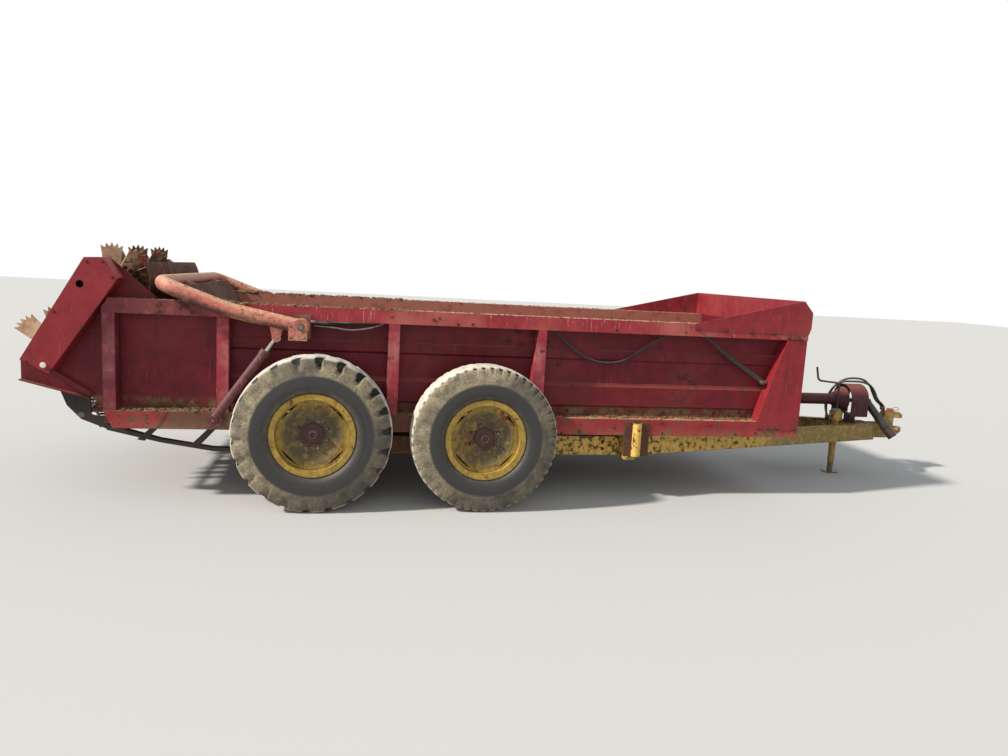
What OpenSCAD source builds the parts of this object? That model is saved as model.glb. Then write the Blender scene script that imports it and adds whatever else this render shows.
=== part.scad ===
// Tandem-axle manure spreader: open steel box with an apron floor, two beaters
// behind a lift gate, walking-beam running gear and an A-shaped drawbar.
// Row frame: +X forward, +Y left, +Z up, ground at Z = 0.
// Stations called x are measured from the front wheel axle, and at_axle() moves them.

/* [Overall] */
// Front wheel axle to the nose of the hitch
hitch_reach = 4320; // [3900:10:4800]
// Inside width of the box, halved
box_half = 830; // [760:5:900]
// Reach of rails and sills past the inside of the box
rail_reach = 133; // [125:1:145]
// Height of the top of the sills
sill_top = 636; // [630:1:650]
// Height of the top of the rails
rail_top = 1394; // [1320:2:1450]
// Inside face of the front wall, ahead of the front axle
box_front = 2545; // [2400:5:2650]
// Front edge of the rear side plates, behind the front axle
box_rear = 2270; // [2200:5:2300]

/* [Sheet and sections] */
// Thickness of wall sheet and rear side plates
wall_t = 6; // [4:0.5:8]
// Thickness of rail, sill and post sections
rail_t = 6; // [4:0.5:8]
// Height of the rails
rail_h = 98; // [80:1:120]
// Height of the sills
sill_h = 125; // [118:1:128]
// Thickness of the floor boards
floor_t = 20; // [15:1:24]
// Width of the side posts
post_w = 80; // [60:1:100]

/* [Running gear] */
// Distance between the two wheel axles
wheelbase = 1189; // [1150:1:1300]
// Middle plane of the wheels, outward of the walking beams
wheel_reach = 173; // [170:1:230]
// Radius of the rear tyres
rear_tyre_r = 540; // [520:1:560]
// Radius of the front tyres
front_tyre_r = 525; // [500:1:550]
// Width of the tyres
tyre_w = 290; // [260:2:290]
// Radius of the rim flanges
flange_r = 290; // [280:1:300]
// Height of the yellow frame beams
beam_h = 150; // [120:2:152]
// Underside of the yellow frame beams
beam_z = 315; // [300:1:320]
// Outer face of the frame beams, from the middle
beam_y = 800; // [760:5:810]

/* [Beaters] */
// Tip radius of the upper beater
upper_tip_r = 272; // [240:1:274]
// Tip radius of the lower beater
lower_tip_r = 304.66; // [270:0.02:308]
// Radius of the beater shafts at their bearings
shaft_r = 25; // [20:0.5:30]
// Turn of the paddle plates from square to the shaft
paddle_pitch = 32; // [15:1:40]
// Thickness of the paddle plates
paddle_t = 10; // [6:1:14]

/* [Lift gate] */
// Outer radius of the gate's tube frame
gate_tube_r = 51; // [40:1:52]
// Middle of the gate arms, outward of the rails
arm_reach = 69; // [67:1:97]
// Radius of the cylinder barrels
barrel_r = 32; // [28:1:36]
// Radius of the cylinder rods
rod_r = 16; // [12:0.5:20]

/* [Hitch and jack] */
// Radius of the drawbar pin hole
hitch_hole_r = 16.5; // [14:0.5:20]
// Middle of the jack, behind the hitch nose
jack_back = 790; // [700:10:850]
// Middle of the jack, from the middle
jack_y = -118; // [-122:1:-112]
// Radius of the jack's outer tube
jack_tube_r = 30; // [26:1:32]
// Radius of the driveline guard tube
guard_r = 52; // [45:1:56]

/* [Hidden] */
$fn = 48;

red = [0.62, 0.20, 0.22];
faded = [0.78, 0.42, 0.40];
yellow = [0.72, 0.56, 0.24];
rust = [0.42, 0.28, 0.20];
dark = [0.13, 0.12, 0.12];
steel = [0.55, 0.53, 0.50];

// The row's origin is halfway between the hitch nose and the rearmost beater tip
lower_x = -2935;
lower_z = 1010;
tail_reach = 0.99695 * lower_tip_r - lower_x;
axle_x = (tail_reach - hitch_reach) / 2;
seat_gap = 0.3;
edge_half = box_half + rail_reach;
gate_arm_y = edge_half + arm_reach;
bogie_in = edge_half - 83;
bogie_out = bogie_in + 90;
wheel_y = bogie_out + wheel_reach;
wall_out = box_half + wall_t;
sill_bottom = sill_top - sill_h;
rail_bottom = rail_top - rail_h;
floor_top = sill_top - 21;
floor_bottom = floor_top - floor_t;
beam_top = beam_z + beam_h;
beam_flange = 60;
beam_t = 8;
rear_x = -box_rear;
tail_x = -2583;

module at_axle() {
    translate([axle_x, 0, 0]) children();
}

module along_x(from, to) {
    translate([from, 0, 0]) rotate([90, 0, 90]) linear_extrude(height = to - from) children();
}

module along_y(from, to) {
    translate([0, to, 0]) rotate([90, 0, 0]) linear_extrude(height = to - from) children();
}

module both_sides() {
    children();
    mirror([0, 1, 0]) children();
}

// Round bar or tube wall between two points
module bar(a, b, r) {
    d = b - a;
    length = norm(d);
    translate(a)
        rotate([0, acos(d[2] / length), atan2(d[1], d[0])])
            cylinder(r = r, h = length);
}

// Round rod through flat points, bent to one radius, with a thin ring where each bend starts and ends
function turn_at(p, i) =
    let (a = p[i] - p[i - 1], b = p[i + 1] - p[i])
        atan2(a[0] * b[1] - a[1] * b[0], a[0] * b[0] + a[1] * b[1]);
function trim_at(p, i, bend) = (i == 0 || i == len(p) - 1) ? 0 : bend * tan(abs(turn_at(p, i)) / 2);

module bent_rod(p, r, bend) {
    ring_w = r * 0.45;
    for (i = [0:len(p) - 2]) {
        d = p[i + 1] - p[i];
        from = i == 0 ? 0 : trim_at(p, i, bend) + 0.5;
        to = norm(d) - (i == len(p) - 2 ? 0 : trim_at(p, i + 1, bend) + 0.5);
        translate(p[i]) rotate([0, 0, atan2(d[1], d[0])]) rotate([0, 90, 0]) {
            translate([0, 0, from]) cylinder(r = r, h = to - from);
            if (i > 0) translate([0, 0, from - ring_w]) cylinder(r = 1.05 * r, h = 2 * ring_w);
            if (i < len(p) - 2) translate([0, 0, to - ring_w]) cylinder(r = 1.05 * r, h = 2 * ring_w);
        }
    }
    for (i = [1:1:len(p) - 2]) {
        d = p[i] - p[i - 1];
        turn = turn_at(p, i);
        translate(p[i]) rotate([0, 0, atan2(d[1], d[0])]) mirror([0, turn < 0 ? 1 : 0, 0])
            translate([-trim_at(p, i, bend), bend, 0]) rotate([0, 0, -90])
                rotate_extrude(angle = abs(turn)) translate([bend, 0]) circle(r = r);
    }
}

// Frame beams and drawbar
beam_rear = -1700;
bend_x = 1300;
drawbar_front = hitch_reach - 370;
drawbar_y = 108;
beam_angle = atan((beam_y - drawbar_y) / (drawbar_front - bend_x));
beam_run = (drawbar_front - bend_x) / cos(beam_angle);

function beam_face(x) = drawbar_y + (drawbar_front - x) * tan(beam_angle);
function beam_edge(x) = beam_face(x) - beam_flange / cos(beam_angle);

module channel_outline(height, flange, t) {
    difference() {
        translate([-flange, 0]) square([flange, height]);
        translate([-flange - 1, t]) square([flange - t + 1, height - 2 * t]);
    }
}

module frame_beam() {
    along_x(beam_rear, bend_x + 8)
        translate([beam_y, beam_z]) channel_outline(beam_h, beam_flange, beam_t);
    translate([bend_x, beam_y, 0])
        rotate([0, 0, -beam_angle])
            translate([0, -beam_y, 0])
                along_x(0, beam_run)
                    translate([beam_y, beam_z]) channel_outline(beam_h, beam_flange, beam_t);
}

stand_x = hitch_reach - 1195;
outrigger_x = [-1600, 300, 1150];
frame_tie_x = [-1640, -595, 600, 1240];
tie_z = beam_z + 8;
tie_h = 40;

// Half-pipe stop on the right beam, open to the outside between two flanges
module bracket() {
    translate([1248, edge_half - 42, beam_z + 30])
        difference() {
            union() {
                cylinder(r = 48, h = sill_bottom - beam_z - 32);
                translate([-93, -8, 0]) cube([186, 16, sill_bottom - beam_z - 32]);
                translate([-48, beam_y - edge_half + 42 - 1, 0]) cube([96, edge_half - beam_y - 42, 10]);
                translate([-48, beam_y - edge_half + 42 - 1, 100]) cube([96, edge_half - beam_y - 42, 10]);
            }
            translate([0, 0, -1]) cylinder(r = 40, h = 300);
            translate([-38, 8, -1]) cube([76, 60, 300]);
        }
}

module frame_beams() {
    color(yellow) at_axle() {
        both_sides() {
            frame_beam();
            for (x = outrigger_x)
                translate([x, beam_y, beam_z])
                    cube([90, edge_half - beam_y - 8, sill_bottom - beam_z]);
        }
        mirror([0, 1, 0]) bracket();
        for (x = frame_tie_x)
            translate([x - 40, -beam_y + beam_t, tie_z]) cube([80, 2 * (beam_y - beam_t), tie_h]);
        translate([0, 0, tie_z]) linear_extrude(height = tie_h)
            polygon([
                [stand_x - 40, beam_face(stand_x - 40) - 4], [stand_x + 40, beam_face(stand_x + 40) - 4],
                [stand_x + 40, 4 - beam_face(stand_x + 40)], [stand_x - 40, 4 - beam_face(stand_x - 40)]
            ]);
    }
}

// Floor bearers hung between the sills
bearer_x = [-2550, -2230, -1850, -1250, -650, -50, 550, 1150, 1750, 2330];
bearer_h = 48;
bearer_bottom = floor_bottom - bearer_h;

module cross_members() {
    color(rust) at_axle()
        for (x = bearer_x)
            translate([x - 25, -edge_half + rail_t, bearer_bottom])
                cube([50, 2 * (edge_half - rail_t), bearer_h]);
}

// Clevis: two cheek plates between the beams with an upper and a lower jaw
cheek_half = 45;
cheek_t = 12;
nose = hitch_reach;
jaw_low = 365;
jaw_high = 577;
mouth_low = 425;
mouth_high = 520;
hitch_x = nose - 60;

module hitch_clevis() {
    color(yellow) at_axle()
        difference() {
            union() {
                both_sides()
                    along_y(cheek_half - cheek_t, cheek_half)
                        polygon([
                            [nose - 900, beam_z + beam_t + 1], [nose - 170, beam_z + beam_t + 1],
                            [nose - 60, jaw_low - 10], [nose - 20, jaw_low + 20], [nose - 20, mouth_low],
                            [nose - 110, mouth_low], [nose - 110, mouth_high], [nose - 30, mouth_high],
                            [nose - 30, jaw_high - 20], [nose - 60, jaw_high], [nose - 190, jaw_high],
                            [nose - 250, beam_top], [nose - 900, beam_top]
                        ]);
                translate([drawbar_front + seat_gap, -drawbar_y, beam_z])
                    cube([16, 2 * drawbar_y, beam_h]);
                translate([nose - 900, 1 - beam_edge(nose - 888), beam_z + beam_t + 1])
                    cube([12, 2 * beam_edge(nose - 888) - 2, beam_h - 2 * beam_t]);
                translate([nose - 160, -cheek_half, mouth_low - 30]) cube([100, 2 * cheek_half, 30]);
                translate([nose - 160, -cheek_half, mouth_high]) cube([100, 2 * cheek_half, 30]);
                translate([hitch_x, 0, mouth_low - 30]) cylinder(r = 60, h = 30);
                translate([hitch_x, 0, mouth_high]) cylinder(r = 60, h = 30);
            }
            translate([hitch_x, 0, jaw_low - 60]) cylinder(r = hitch_hole_r, h = 400);
        }
}

// Side structure, drawn on the left and mirrored to the right
sill_front = box_front + 55;
sill_lip = 45;

module sill() {
    difference() {
        along_x(tail_x, sill_front)
            polygon([
                [wall_out, sill_top], [edge_half, sill_top], [edge_half, sill_bottom],
                [edge_half - sill_lip, sill_bottom], [edge_half - sill_lip, sill_bottom + rail_t],
                [edge_half - rail_t, sill_bottom + rail_t], [edge_half - rail_t, sill_top - rail_t],
                [wall_out, sill_top - rail_t]
            ]);
        along_y(box_half, edge_half + 1)
            polygon([[tail_x - 1, sill_top], [tail_x + 64, sill_bottom - 1], [tail_x - 1, sill_bottom - 1]]);
    }
}

module sills() {
    color(red) at_axle() {
        both_sides() sill();
        mirror([0, 1, 0]) along_y(edge_half - 1, edge_half + 4)
            polygon([
                [tail_x + 3, sill_top - 3], [-2171, sill_top - 3], [-2245, sill_bottom + 6], [tail_x + 60, sill_bottom + 6]
            ]);
        along_y(-edge_half + rail_t, edge_half - rail_t)
            polygon([
                [box_front + wall_t, sill_bottom + 12], [sill_front, sill_bottom + 12],
                [sill_front, sill_top - rail_t], [box_front + wall_t, sill_top - rail_t],
                [box_front + wall_t, sill_top - 12], [sill_front - 6, sill_top - 12],
                [sill_front - 6, sill_bottom + 18], [box_front + wall_t, sill_bottom + 18]
            ]);
    }
}

// Height and outward step of the wall sheet's pressed bands
wall_band = [
    [floor_bottom, 0], [707, 0], [722, 22], [868, 22], [898, 0], [1067, 0], [1082, 14],
    [1146, 14], [1161, 0], [rail_top, 0]
];

band_rear = -1800;

module side_wall() {
    along_x(rear_x + seat_gap, band_rear + 1)
        translate([box_half, floor_bottom]) square([wall_t, rail_top - floor_bottom]);
    along_x(band_rear, band_rear + wall_t)
        polygon(concat(
            [for (b = wall_band) [wall_out + b[1], b[0]]],
            [[box_half, rail_top], [box_half, floor_bottom]]
        ));
    along_x(band_rear + wall_t - 1, box_front)
        polygon(concat(
            [for (b = wall_band) [wall_out + b[1], b[0]]],
            [for (i = [len(wall_band) - 1:-1:0]) [box_half + wall_band[i][1], wall_band[i][0]]]
        ));
}

module side_wall_right() {
    color(red) at_axle() mirror([0, 1, 0]) side_wall();
}

module side_wall_left() {
    color(red) at_axle() side_wall();
}

// Posts: middle station, width at the top and width at the foot
post_table = [[-2540, post_w, post_w], [-1815, post_w, post_w], [-650, post_w, post_w], [440, 62, 108]];

module post(x, top_w, foot_w) {
    h = rail_bottom - sill_top;
    inset = wall_out + 23;
    front = x + top_w / 2;
    translate([0, 0, sill_top])
        difference() {
            along_y(inset, edge_half)
                polygon([[front - foot_w, 0], [front, 0], [front, h], [front - top_w, h]]);
            along_y(inset - 1, edge_half - rail_t)
                polygon([
                    [front - foot_w + rail_t, -1], [front - rail_t, -1],
                    [front - rail_t, h + 1], [front - top_w + rail_t, h + 1]
                ]);
        }
}

module posts() {
    color(red) at_axle() both_sides() for (p = post_table) post(p[0], p[1], p[2]);
}

module rail() {
    difference() {
        along_x(tail_x, sill_front + 9)
            polygon([
                [wall_out, rail_top], [edge_half, rail_top], [edge_half, rail_bottom],
                [edge_half - 40, rail_bottom], [edge_half - 40, rail_bottom + rail_t],
                [edge_half - rail_t, rail_bottom + rail_t], [edge_half - rail_t, rail_top - rail_t],
                [wall_out, rail_top - rail_t]
            ]);
        along_y(box_half, edge_half + 1)
            polygon([
                [tail_x - 117, rail_bottom - 1], [tail_x - 23, rail_bottom - 1],
                [tail_x + 45, rail_top + 1], [tail_x - 117, rail_top + 1]
            ]);
    }
}

module rail_right() {
    color(faded) at_axle() mirror([0, 1, 0]) rail();
}

module rail_left() {
    color(faded) at_axle() rail();
}

// Front end
ext_top = 1607;
lip_x = box_front + 81;

module front_wall() {
    color(red) at_axle() {
        translate([box_front, -wall_out, sill_bottom + 49])
            cube([wall_t, 2 * wall_out, rail_top - sill_bottom - 49]);
        for (z = [830, 1110])
            along_y(-wall_out, wall_out)
                polygon([
                    [box_front + wall_t, z - 60], [box_front + 36, z - 40],
                    [box_front + 36, z + 40], [box_front + wall_t, z + 60]
                ]);
    }
}

module front_extension() {
    color(faded) at_axle()
        along_y(-edge_half + seat_gap, edge_half - seat_gap)
            polygon([
                [box_front, rail_top], [box_front, ext_top], [box_front + 6, ext_top],
                [lip_x, 1520], [lip_x, rail_top], [lip_x - rail_t, rail_top],
                [lip_x - rail_t, 1517], [box_front + rail_t, ext_top - 10], [box_front + rail_t, rail_top]
            ]);
}

module side_extensions() {
    color(faded) at_axle() both_sides()
        along_y(edge_half, edge_half + 5)
            polygon([
                [1640, 1346], [2360, 1340], [box_front + 64, 1345], [lip_x, rail_top], [lip_x, 1520],
                [box_front, ext_top], [1640, rail_top]
            ]);
}

module corner_gussets() {
    color(red) at_axle() both_sides() {
        along_y(edge_half, edge_half + 5)
            polygon([
                [box_front - 319, 575], [box_front + 56, 565],
                [box_front + 56, rail_bottom], [box_front - 109, rail_bottom]
            ]);
        along_y(wall_out + 23, edge_half)
            polygon([
                [box_front - 305, sill_top], [box_front - 299, sill_top],
                [box_front - 103, rail_bottom], [box_front - 109, rail_bottom]
            ]);
    }
}

module floor() {
    color(rust) at_axle()
        translate([-2690, -box_half + seat_gap, floor_bottom])
            cube([2690 + 2390, 2 * (box_half - seat_gap), floor_t]);
}

// Apron: two chains and the slats they carry, one fixed loop
chain_y = 520;
chain_r = 52;
chain_t = 20;
chain_w = 44;
front_shaft_x = box_front - 90;
rear_shaft_x = -2760;
apron_z = floor_top + chain_t / 2 + seat_gap - chain_r;
slat_step = (front_shaft_x - rear_shaft_x - 295) / 12;
slat_x = [for (i = [0:12]) rear_shaft_x + 100 + i * slat_step];

module loop_outline(r) {
    polygon([
        for (i = [0:13])
            let (front = i < 7, a = 30 * i - (front ? 90 : 120))
                [(front ? front_shaft_x : rear_shaft_x) + r * cos(a), apron_z + r * sin(a)]
    ]);
}

module apron() {
    color(rust) at_axle() {
        for (side = [-1, 1])
            along_y(side * chain_y - chain_w / 2, side * chain_y + chain_w / 2)
                difference() {
                    loop_outline(chain_r + chain_t / 2);
                    loop_outline(chain_r - chain_t / 2);
                }
        for (x = slat_x) {
            translate([x, -box_half + 25, floor_top + seat_gap + 8]) cube([12, 2 * box_half - 50, 36]);
            translate([x, -box_half + 45, apron_z - chain_r - 28]) cube([12, 2 * box_half - 90, 24]);
        }
    }
}

shaft_end_y = [edge_half - rail_t - seat_gap, box_half - seat_gap];
apron_shaft_r = 21;

sprocket_teeth = 8;

module sprocket() {
    root = (chain_r - chain_t / 2) * cos(15) - seat_gap;
    polygon([
        for (i = [0:2 * sprocket_teeth - 1])
            let (a = (i + 0.5) * 180 / sprocket_teeth, r = i % 4 < 2 ? root : root - 7) [r * cos(a), r * sin(a)]
    ]);
}

module apron_shafts() {
    color(steel) at_axle()
        for (i = [0:1])
            translate([i == 0 ? front_shaft_x : rear_shaft_x, 0, apron_z]) {
                rotate([90, 0, 0]) cylinder(r = apron_shaft_r, h = 2 * shaft_end_y[i], center = true);
                for (side = [-1, 1])
                    translate([0, side * chain_y, 0]) rotate([90, 0, 0])
                        linear_extrude(height = 24, center = true) sprocket();
            }
}

// Curved struts from the frame's rear end to the plates of the rear apron shaft
strut_out = box_half - seat_gap;
strut_in = strut_out - 49;

module rear_struts() {
    color(dark) at_axle() both_sides() {
        along_y(strut_in, strut_out)
            polygon([
                [beam_rear - seat_gap, beam_z + 30], [-1900, beam_z + 38], [-2250, 412],
                [-2600, 510], [-2600, 470], [-2250, 385], [-1900, beam_z + 10],
                [beam_rear - seat_gap, beam_z + 2]
            ]);
        difference() {
            along_y(strut_out - 10, strut_out)
                polygon([
                    [-2900, 770], [-2850, 640], [-2762, 545], [-2590, 474], [-2590, floor_bottom - 25],
                    [-2695, floor_bottom - 25], [-2695, 715]
                ]);
            translate([rear_shaft_x, box_half, apron_z]) rotate([90, 0, 0]) cylinder(r = apron_shaft_r + seat_gap, h = 20);
        }
        along_y(strut_out - 12, strut_out)
            polygon([[-2405, 405], [-2355, 395], [-2205, bearer_bottom], [-2255, bearer_bottom]]);
        along_y(strut_out - 12, strut_out)
            polygon([[-2050, 370], [-1998, 355], [-1825, bearer_bottom], [-1875, bearer_bottom]]);
    }
}

// Beater stations
upper_x = -2600;
upper_z = 1490;

module rear_side() {
    along_y(wall_out - 1, wall_out + 45)
        polygon([[-3125, 818.5], [-2690, 702], [-2690, 696], [-3125, 812.5]]);
    along_y(wall_out - 1, wall_out + 30)
        polygon([[-2960, 872], [-2700, 712], [-2672, 735], [-2930, 893]]);
    difference() {
        along_y(box_half, wall_out)
            polygon([
                [rear_x, floor_bottom], [-2585, floor_bottom], [-2690, 702], [-3125, 818.5], [-3125, 945], [-3071, 967],
                [-2672, 1653], [-2558, 1659], [rear_x, rail_top + 12]
            ]);
        translate([upper_x, wall_out + 1, upper_z]) rotate([90, 0, 0]) cylinder(r = 45, h = wall_t + 2);
        translate([lower_x, wall_out + 1, lower_z]) rotate([90, 0, 0]) cylinder(r = 45, h = wall_t + 2);
    }
}

module rear_side_right() {
    color(red) at_axle() mirror([0, 1, 0]) rear_side();
}

module rear_side_left() {
    color(red) at_axle() rear_side();
}

// Slanted cover over the drive between the beaters, on the right
cover_out = edge_half + 27;
cover_t = 4;

module cover_outline(inset) {
    offset(delta = -inset)
        polygon([[-3072, 967], [-2900, 879], [-2468, 1527], [-2558, 1659], [-2672, 1653]]);
}

module chain_cover() {
    color(red) at_axle() mirror([0, 1, 0])
        difference() {
            along_y(wall_out + seat_gap, cover_out) cover_outline(0);
            along_y(wall_out - 1, cover_out - cover_t) cover_outline(cover_t);
            translate([-2700, cover_out + 1, 1478]) rotate([90, 0, 0]) cylinder(r = 24, h = 20);
        }
}

// Drive from the rear gearbox to the left end of the lower beater
case_in = edge_half + 9;
case_out = case_in + 70;
gear_x = -2432;
gear_z = 400;

module side_drive() {
    color(dark) at_axle() {
        difference() {
            along_y(case_in, case_out)
                hull() {
                    translate([lower_x, lower_z]) circle(r = 105, $fn = 32);
                    translate([gear_x, gear_z]) circle(r = 80, $fn = 32);
                }
            translate([lower_x, case_out - 10, lower_z]) rotate([90, 0, 0]) cylinder(r = 34, h = 200);
        }
        translate([gear_x, case_in, gear_z]) rotate([90, 0, 0]) cylinder(r = 22, h = case_in);
        translate([gear_x - 70, -70, gear_z - 60]) cube([140, 140, 120]);
        along_y(-30, 30)
            polygon([
                [gear_x - 62, gear_z + 50], [gear_x + 8, gear_z + 50],
                [bearer_x[0] + 22, bearer_bottom - seat_gap], [bearer_x[0] - 22, bearer_bottom - seat_gap]
            ]);
        translate([-2535, edge_half + seat_gap, 550]) cube([50, case_in + 1 - edge_half, 55]);
    }
}

// Serrated paddle: straight sides, five teeth on a shallow arc, foot at the shaft
tooth_n = 5;
fan_r = 135;
tooth_deep = 30;
fan_half = 40;

module paddle_outline(tip) {
    middle = tip - fan_r;
    polygon(concat(
        [[-45, 50], [45, 50]],
        [for (i = [0:2 * tooth_n])
            let (a = 90 - fan_half + i * fan_half / tooth_n, r = fan_r - (i % 2 == 1 ? 0 : tooth_deep))
                [r * cos(a), middle + r * sin(a)]]
    ));
}

module paddle(tip, angle) {
    rotate([0, 90 - angle, 0])
        rotate([0, 0, paddle_pitch])
            translate([0, paddle_t / 2, 0])
                rotate([90, 0, 0])
                    linear_extrude(height = paddle_t) paddle_outline(tip);
}

turn_step = -36;

module beater(tip, stations, margin, first_angle, tube_r, right_end, left_end) {
    station_step = 2 * (box_half - margin) / (stations - 1);
    rotate([90, 0, 0]) translate([0, 0, -box_half + 12])
        cylinder(r = tube_r, h = 2 * (box_half - 12));
    translate([0, left_end, 0]) rotate([90, 0, 0]) cylinder(r = shaft_r, h = left_end - right_end);
    for (i = [0:stations - 1])
        translate([0, margin - box_half + i * station_step, 0]) {
            paddle(tip, first_angle + i * turn_step);
            paddle(tip, first_angle + i * turn_step + 180);
        }
}

module upper_beater() {
    color(faded) at_axle() translate([upper_x, 0, upper_z])
        beater(upper_tip_r, 11, 180, 90, 66, 13 - edge_half, edge_half - 63);
}

module lower_beater() {
    color(faded) at_axle() translate([lower_x, 0, lower_z])
        beater(lower_tip_r, 12, 115, 139, 80, 13 - edge_half, case_out - 20);
}

module flange_bearing() {
    difference() {
        union() {
            translate([0, 18, 0]) rotate([90, 0, 0]) cylinder(r = 72, h = 18);
            translate([0, 40, 0]) rotate([90, 0, 0]) cylinder(r = 48, h = 40);
        }
        translate([0, 50, 0]) rotate([90, 0, 0]) cylinder(r = shaft_r + 0.05, h = 60);
    }
}

module beater_bearings() {
    color(dark) at_axle() both_sides() {
        translate([upper_x, wall_out, upper_z]) flange_bearing();
        translate([lower_x, wall_out, lower_z]) flange_bearing();
    }
}

// Curved hood plate ahead of the upper beater
module beater_hood() {
    r_in = upper_tip_r + 16;
    color(rust) at_axle() translate([upper_x, 0, upper_z])
        intersection() {
            along_y(-box_half, box_half)
                difference() {
                    circle(r = r_in + 6);
                    circle(r = r_in);
                }
            along_y(-box_half, box_half)
                polygon([[0, 0], [500, -350], [500, 300]]);
        }
}

// Lift gate: side view stations of the arm, rearward and up from the pivot
gate_pivot = [-1290, 1256];
arm_knee = [-1770, 1352];
arm_end = [-2205, 1512];
gate_bend_r = 130;
knee_bend_r = 900;
pivot_pin_r = 20;
ear_gap = 18;
ear_t = 8;

module rearward(y) {
    translate([0, y, 0]) rotate([90, 0, 180]) children();
}

module round_along_y(x, z, y0, y1, r) {
    translate([x, y1, z]) rotate([90, 0, 0]) cylinder(r = r, h = y1 - y0);
}

module gate_frame() {
    pivot = [-gate_pivot[0], gate_pivot[1]];
    knee = [-arm_knee[0], arm_knee[1]];
    last = [-arm_end[0], arm_end[1]];
    rise = (last - knee) / norm(last - knee);
    corner = last - rise * gate_bend_r;
    cross_end = gate_arm_y - gate_bend_r;
    color(faded) at_axle() {
        both_sides() {
            difference() {
                union() {
                    rearward(gate_arm_y) {
                        bent_rod([pivot, knee, corner - rise], gate_tube_r, knee_bend_r);
                        translate(corner) rotate([0, 90, atan2(rise[1], rise[0])])
                            cylinder(r = gate_tube_r + 3, h = 24, center = true);
                        translate(corner) rotate([0, 0, atan2(rise[1], rise[0])])
                            translate([0, 0, -gate_bend_r]) rotate([90, 0, 0])
                                rotate_extrude(angle = 90) translate([gate_bend_r, 0]) circle(r = gate_tube_r);
                    }
                    round_along_y(arm_end[0], arm_end[1], cross_end - 12, cross_end + 12, gate_tube_r + 3);
                    round_along_y(gate_pivot[0], gate_pivot[1], gate_arm_y - 53, gate_arm_y + 53, 57);
                    along_y(gate_arm_y + 45, gate_arm_y + 53)
                        translate([gate_pivot[0] - 82, gate_pivot[1] - 93]) square([126, 117]);
                }
                round_along_y(gate_pivot[0], gate_pivot[1], gate_arm_y - 60, gate_arm_y + 60, pivot_pin_r + 0.05);
            }
            for (y = [gate_arm_y - ear_gap - ear_t, gate_arm_y + ear_gap])
                along_y(y, y + ear_t)
                    polygon([
                        [-1395, 1290], [eye_x + 28, eye_z], [eye_x + 14, eye_z - 26],
                        [eye_x - 14, eye_z - 26], [eye_x - 28, eye_z], [-1510, 1310]
                    ]);
        }
        round_along_y(arm_end[0], arm_end[1], 1 - cross_end, cross_end - 1, gate_tube_r);
        for (y = [-500, 500])
            along_y(y - 6, y + 6)
                polygon([
                    [arm_end[0], arm_end[1] + 20], [panel_top[0] - seat_gap, panel_top[1]],
                    [panel_top[0] - seat_gap + 85, panel_top[1] - 122.5], [arm_end[0], arm_end[1] - 30]
                ]);
    }
}

panel_t = 8;
panel_top = [-2075, 1500];
panel_foot = [-1520, 700];

module gate_panel() {
    color(rust) at_axle()
        along_y(-box_half + 20, box_half - 20)
            polygon([
                panel_top, panel_foot, [panel_foot[0] + panel_t, panel_foot[1]],
                [panel_top[0] + panel_t, panel_top[1]]
            ]);
}

eye_x = -1453;
eye_z = 1177;
base_x = -1865;
base_z = 590;

module gate_brackets() {
    color(red) at_axle() both_sides() {
        along_y(edge_half, edge_half + 8)
            polygon([
                [gate_pivot[0] - 60, 1168], [gate_pivot[0] + 60, 1168],
                [gate_pivot[0] + 60, 1340], [gate_pivot[0] - 60, 1340]
            ]);
        round_along_y(gate_pivot[0], gate_pivot[1], edge_half + 4, gate_arm_y + 60, pivot_pin_r);
        along_y(edge_half, edge_half + 8)
            polygon([[base_x - 50, 535], [base_x + 50, 535], [base_x + 50, 630], [base_x - 50, 630]]);
        round_along_y(base_x, base_z, edge_half + 4, gate_arm_y + 22, base_pin_r);
    }
}

// Cylinders, drawn along the line from base to eye
cyl_y = gate_arm_y;
cyl_d = [eye_x - base_x, eye_z - base_z];
cyl_len = norm(cyl_d);
cyl_lean = atan2(cyl_d[0], cyl_d[1]);
barrel_len = 600;
base_pin_r = 12;
eye_r = 30;

module on_cylinder(side) {
    at_axle() translate([base_x, side * cyl_y, base_z]) rotate([0, cyl_lean, 0]) children();
}

module cylinder_barrel(side) {
    color(faded) on_cylinder(side)
        difference() {
            union() {
                translate([0, 0, 30]) cylinder(r = barrel_r, h = barrel_len - 30);
                translate([0, 0, barrel_len - 40]) cylinder(r = barrel_r + 4, h = 40);
                translate([0, 16, 0]) rotate([90, 0, 0]) cylinder(r = 34, h = 32);
            }
            translate([0, 30, 0]) rotate([90, 0, 0]) cylinder(r = base_pin_r + 0.05, h = 60);
            translate([0, 0, 60]) cylinder(r = rod_r + 0.05, h = barrel_len);
        }
}

module cylinder_rod(side) {
    color(steel) on_cylinder(side)
        union() {
            translate([0, 0, 250]) cylinder(r = rod_r, h = cyl_len - 250);
            translate([0, ear_gap - 3, cyl_len]) rotate([90, 0, 0]) cylinder(r = eye_r, h = 2 * (ear_gap - 3));
        }
}

module cylinder_barrel_right() {
    cylinder_barrel(-1);
}

module cylinder_barrel_left() {
    cylinder_barrel(1);
}

module cylinder_rod_right() {
    cylinder_rod(-1);
}

module cylinder_rod_left() {
    cylinder_rod(1);
}

// Walking beams with spindle plates and spindles
bogie_low = 360;
bogie_high = 480;
bogie_pin_x = -wheelbase / 2;
spindle_r = 32;
hub_in = bogie_out + 40;
hub_out = wheel_y + 62;

module spindle(x, z) {
    along_y(bogie_out, bogie_out + 12)
        polygon([
            [x - 75, bogie_low], [x + 75, bogie_low], [x + 75, z - 20], [x + 45, z + 60],
            [x - 45, z + 60], [x - 75, z - 20]
        ]);
    translate([x, hub_out - 10, z]) rotate([90, 0, 0]) cylinder(r = spindle_r, h = hub_out - 10 - bogie_out);
}

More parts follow.
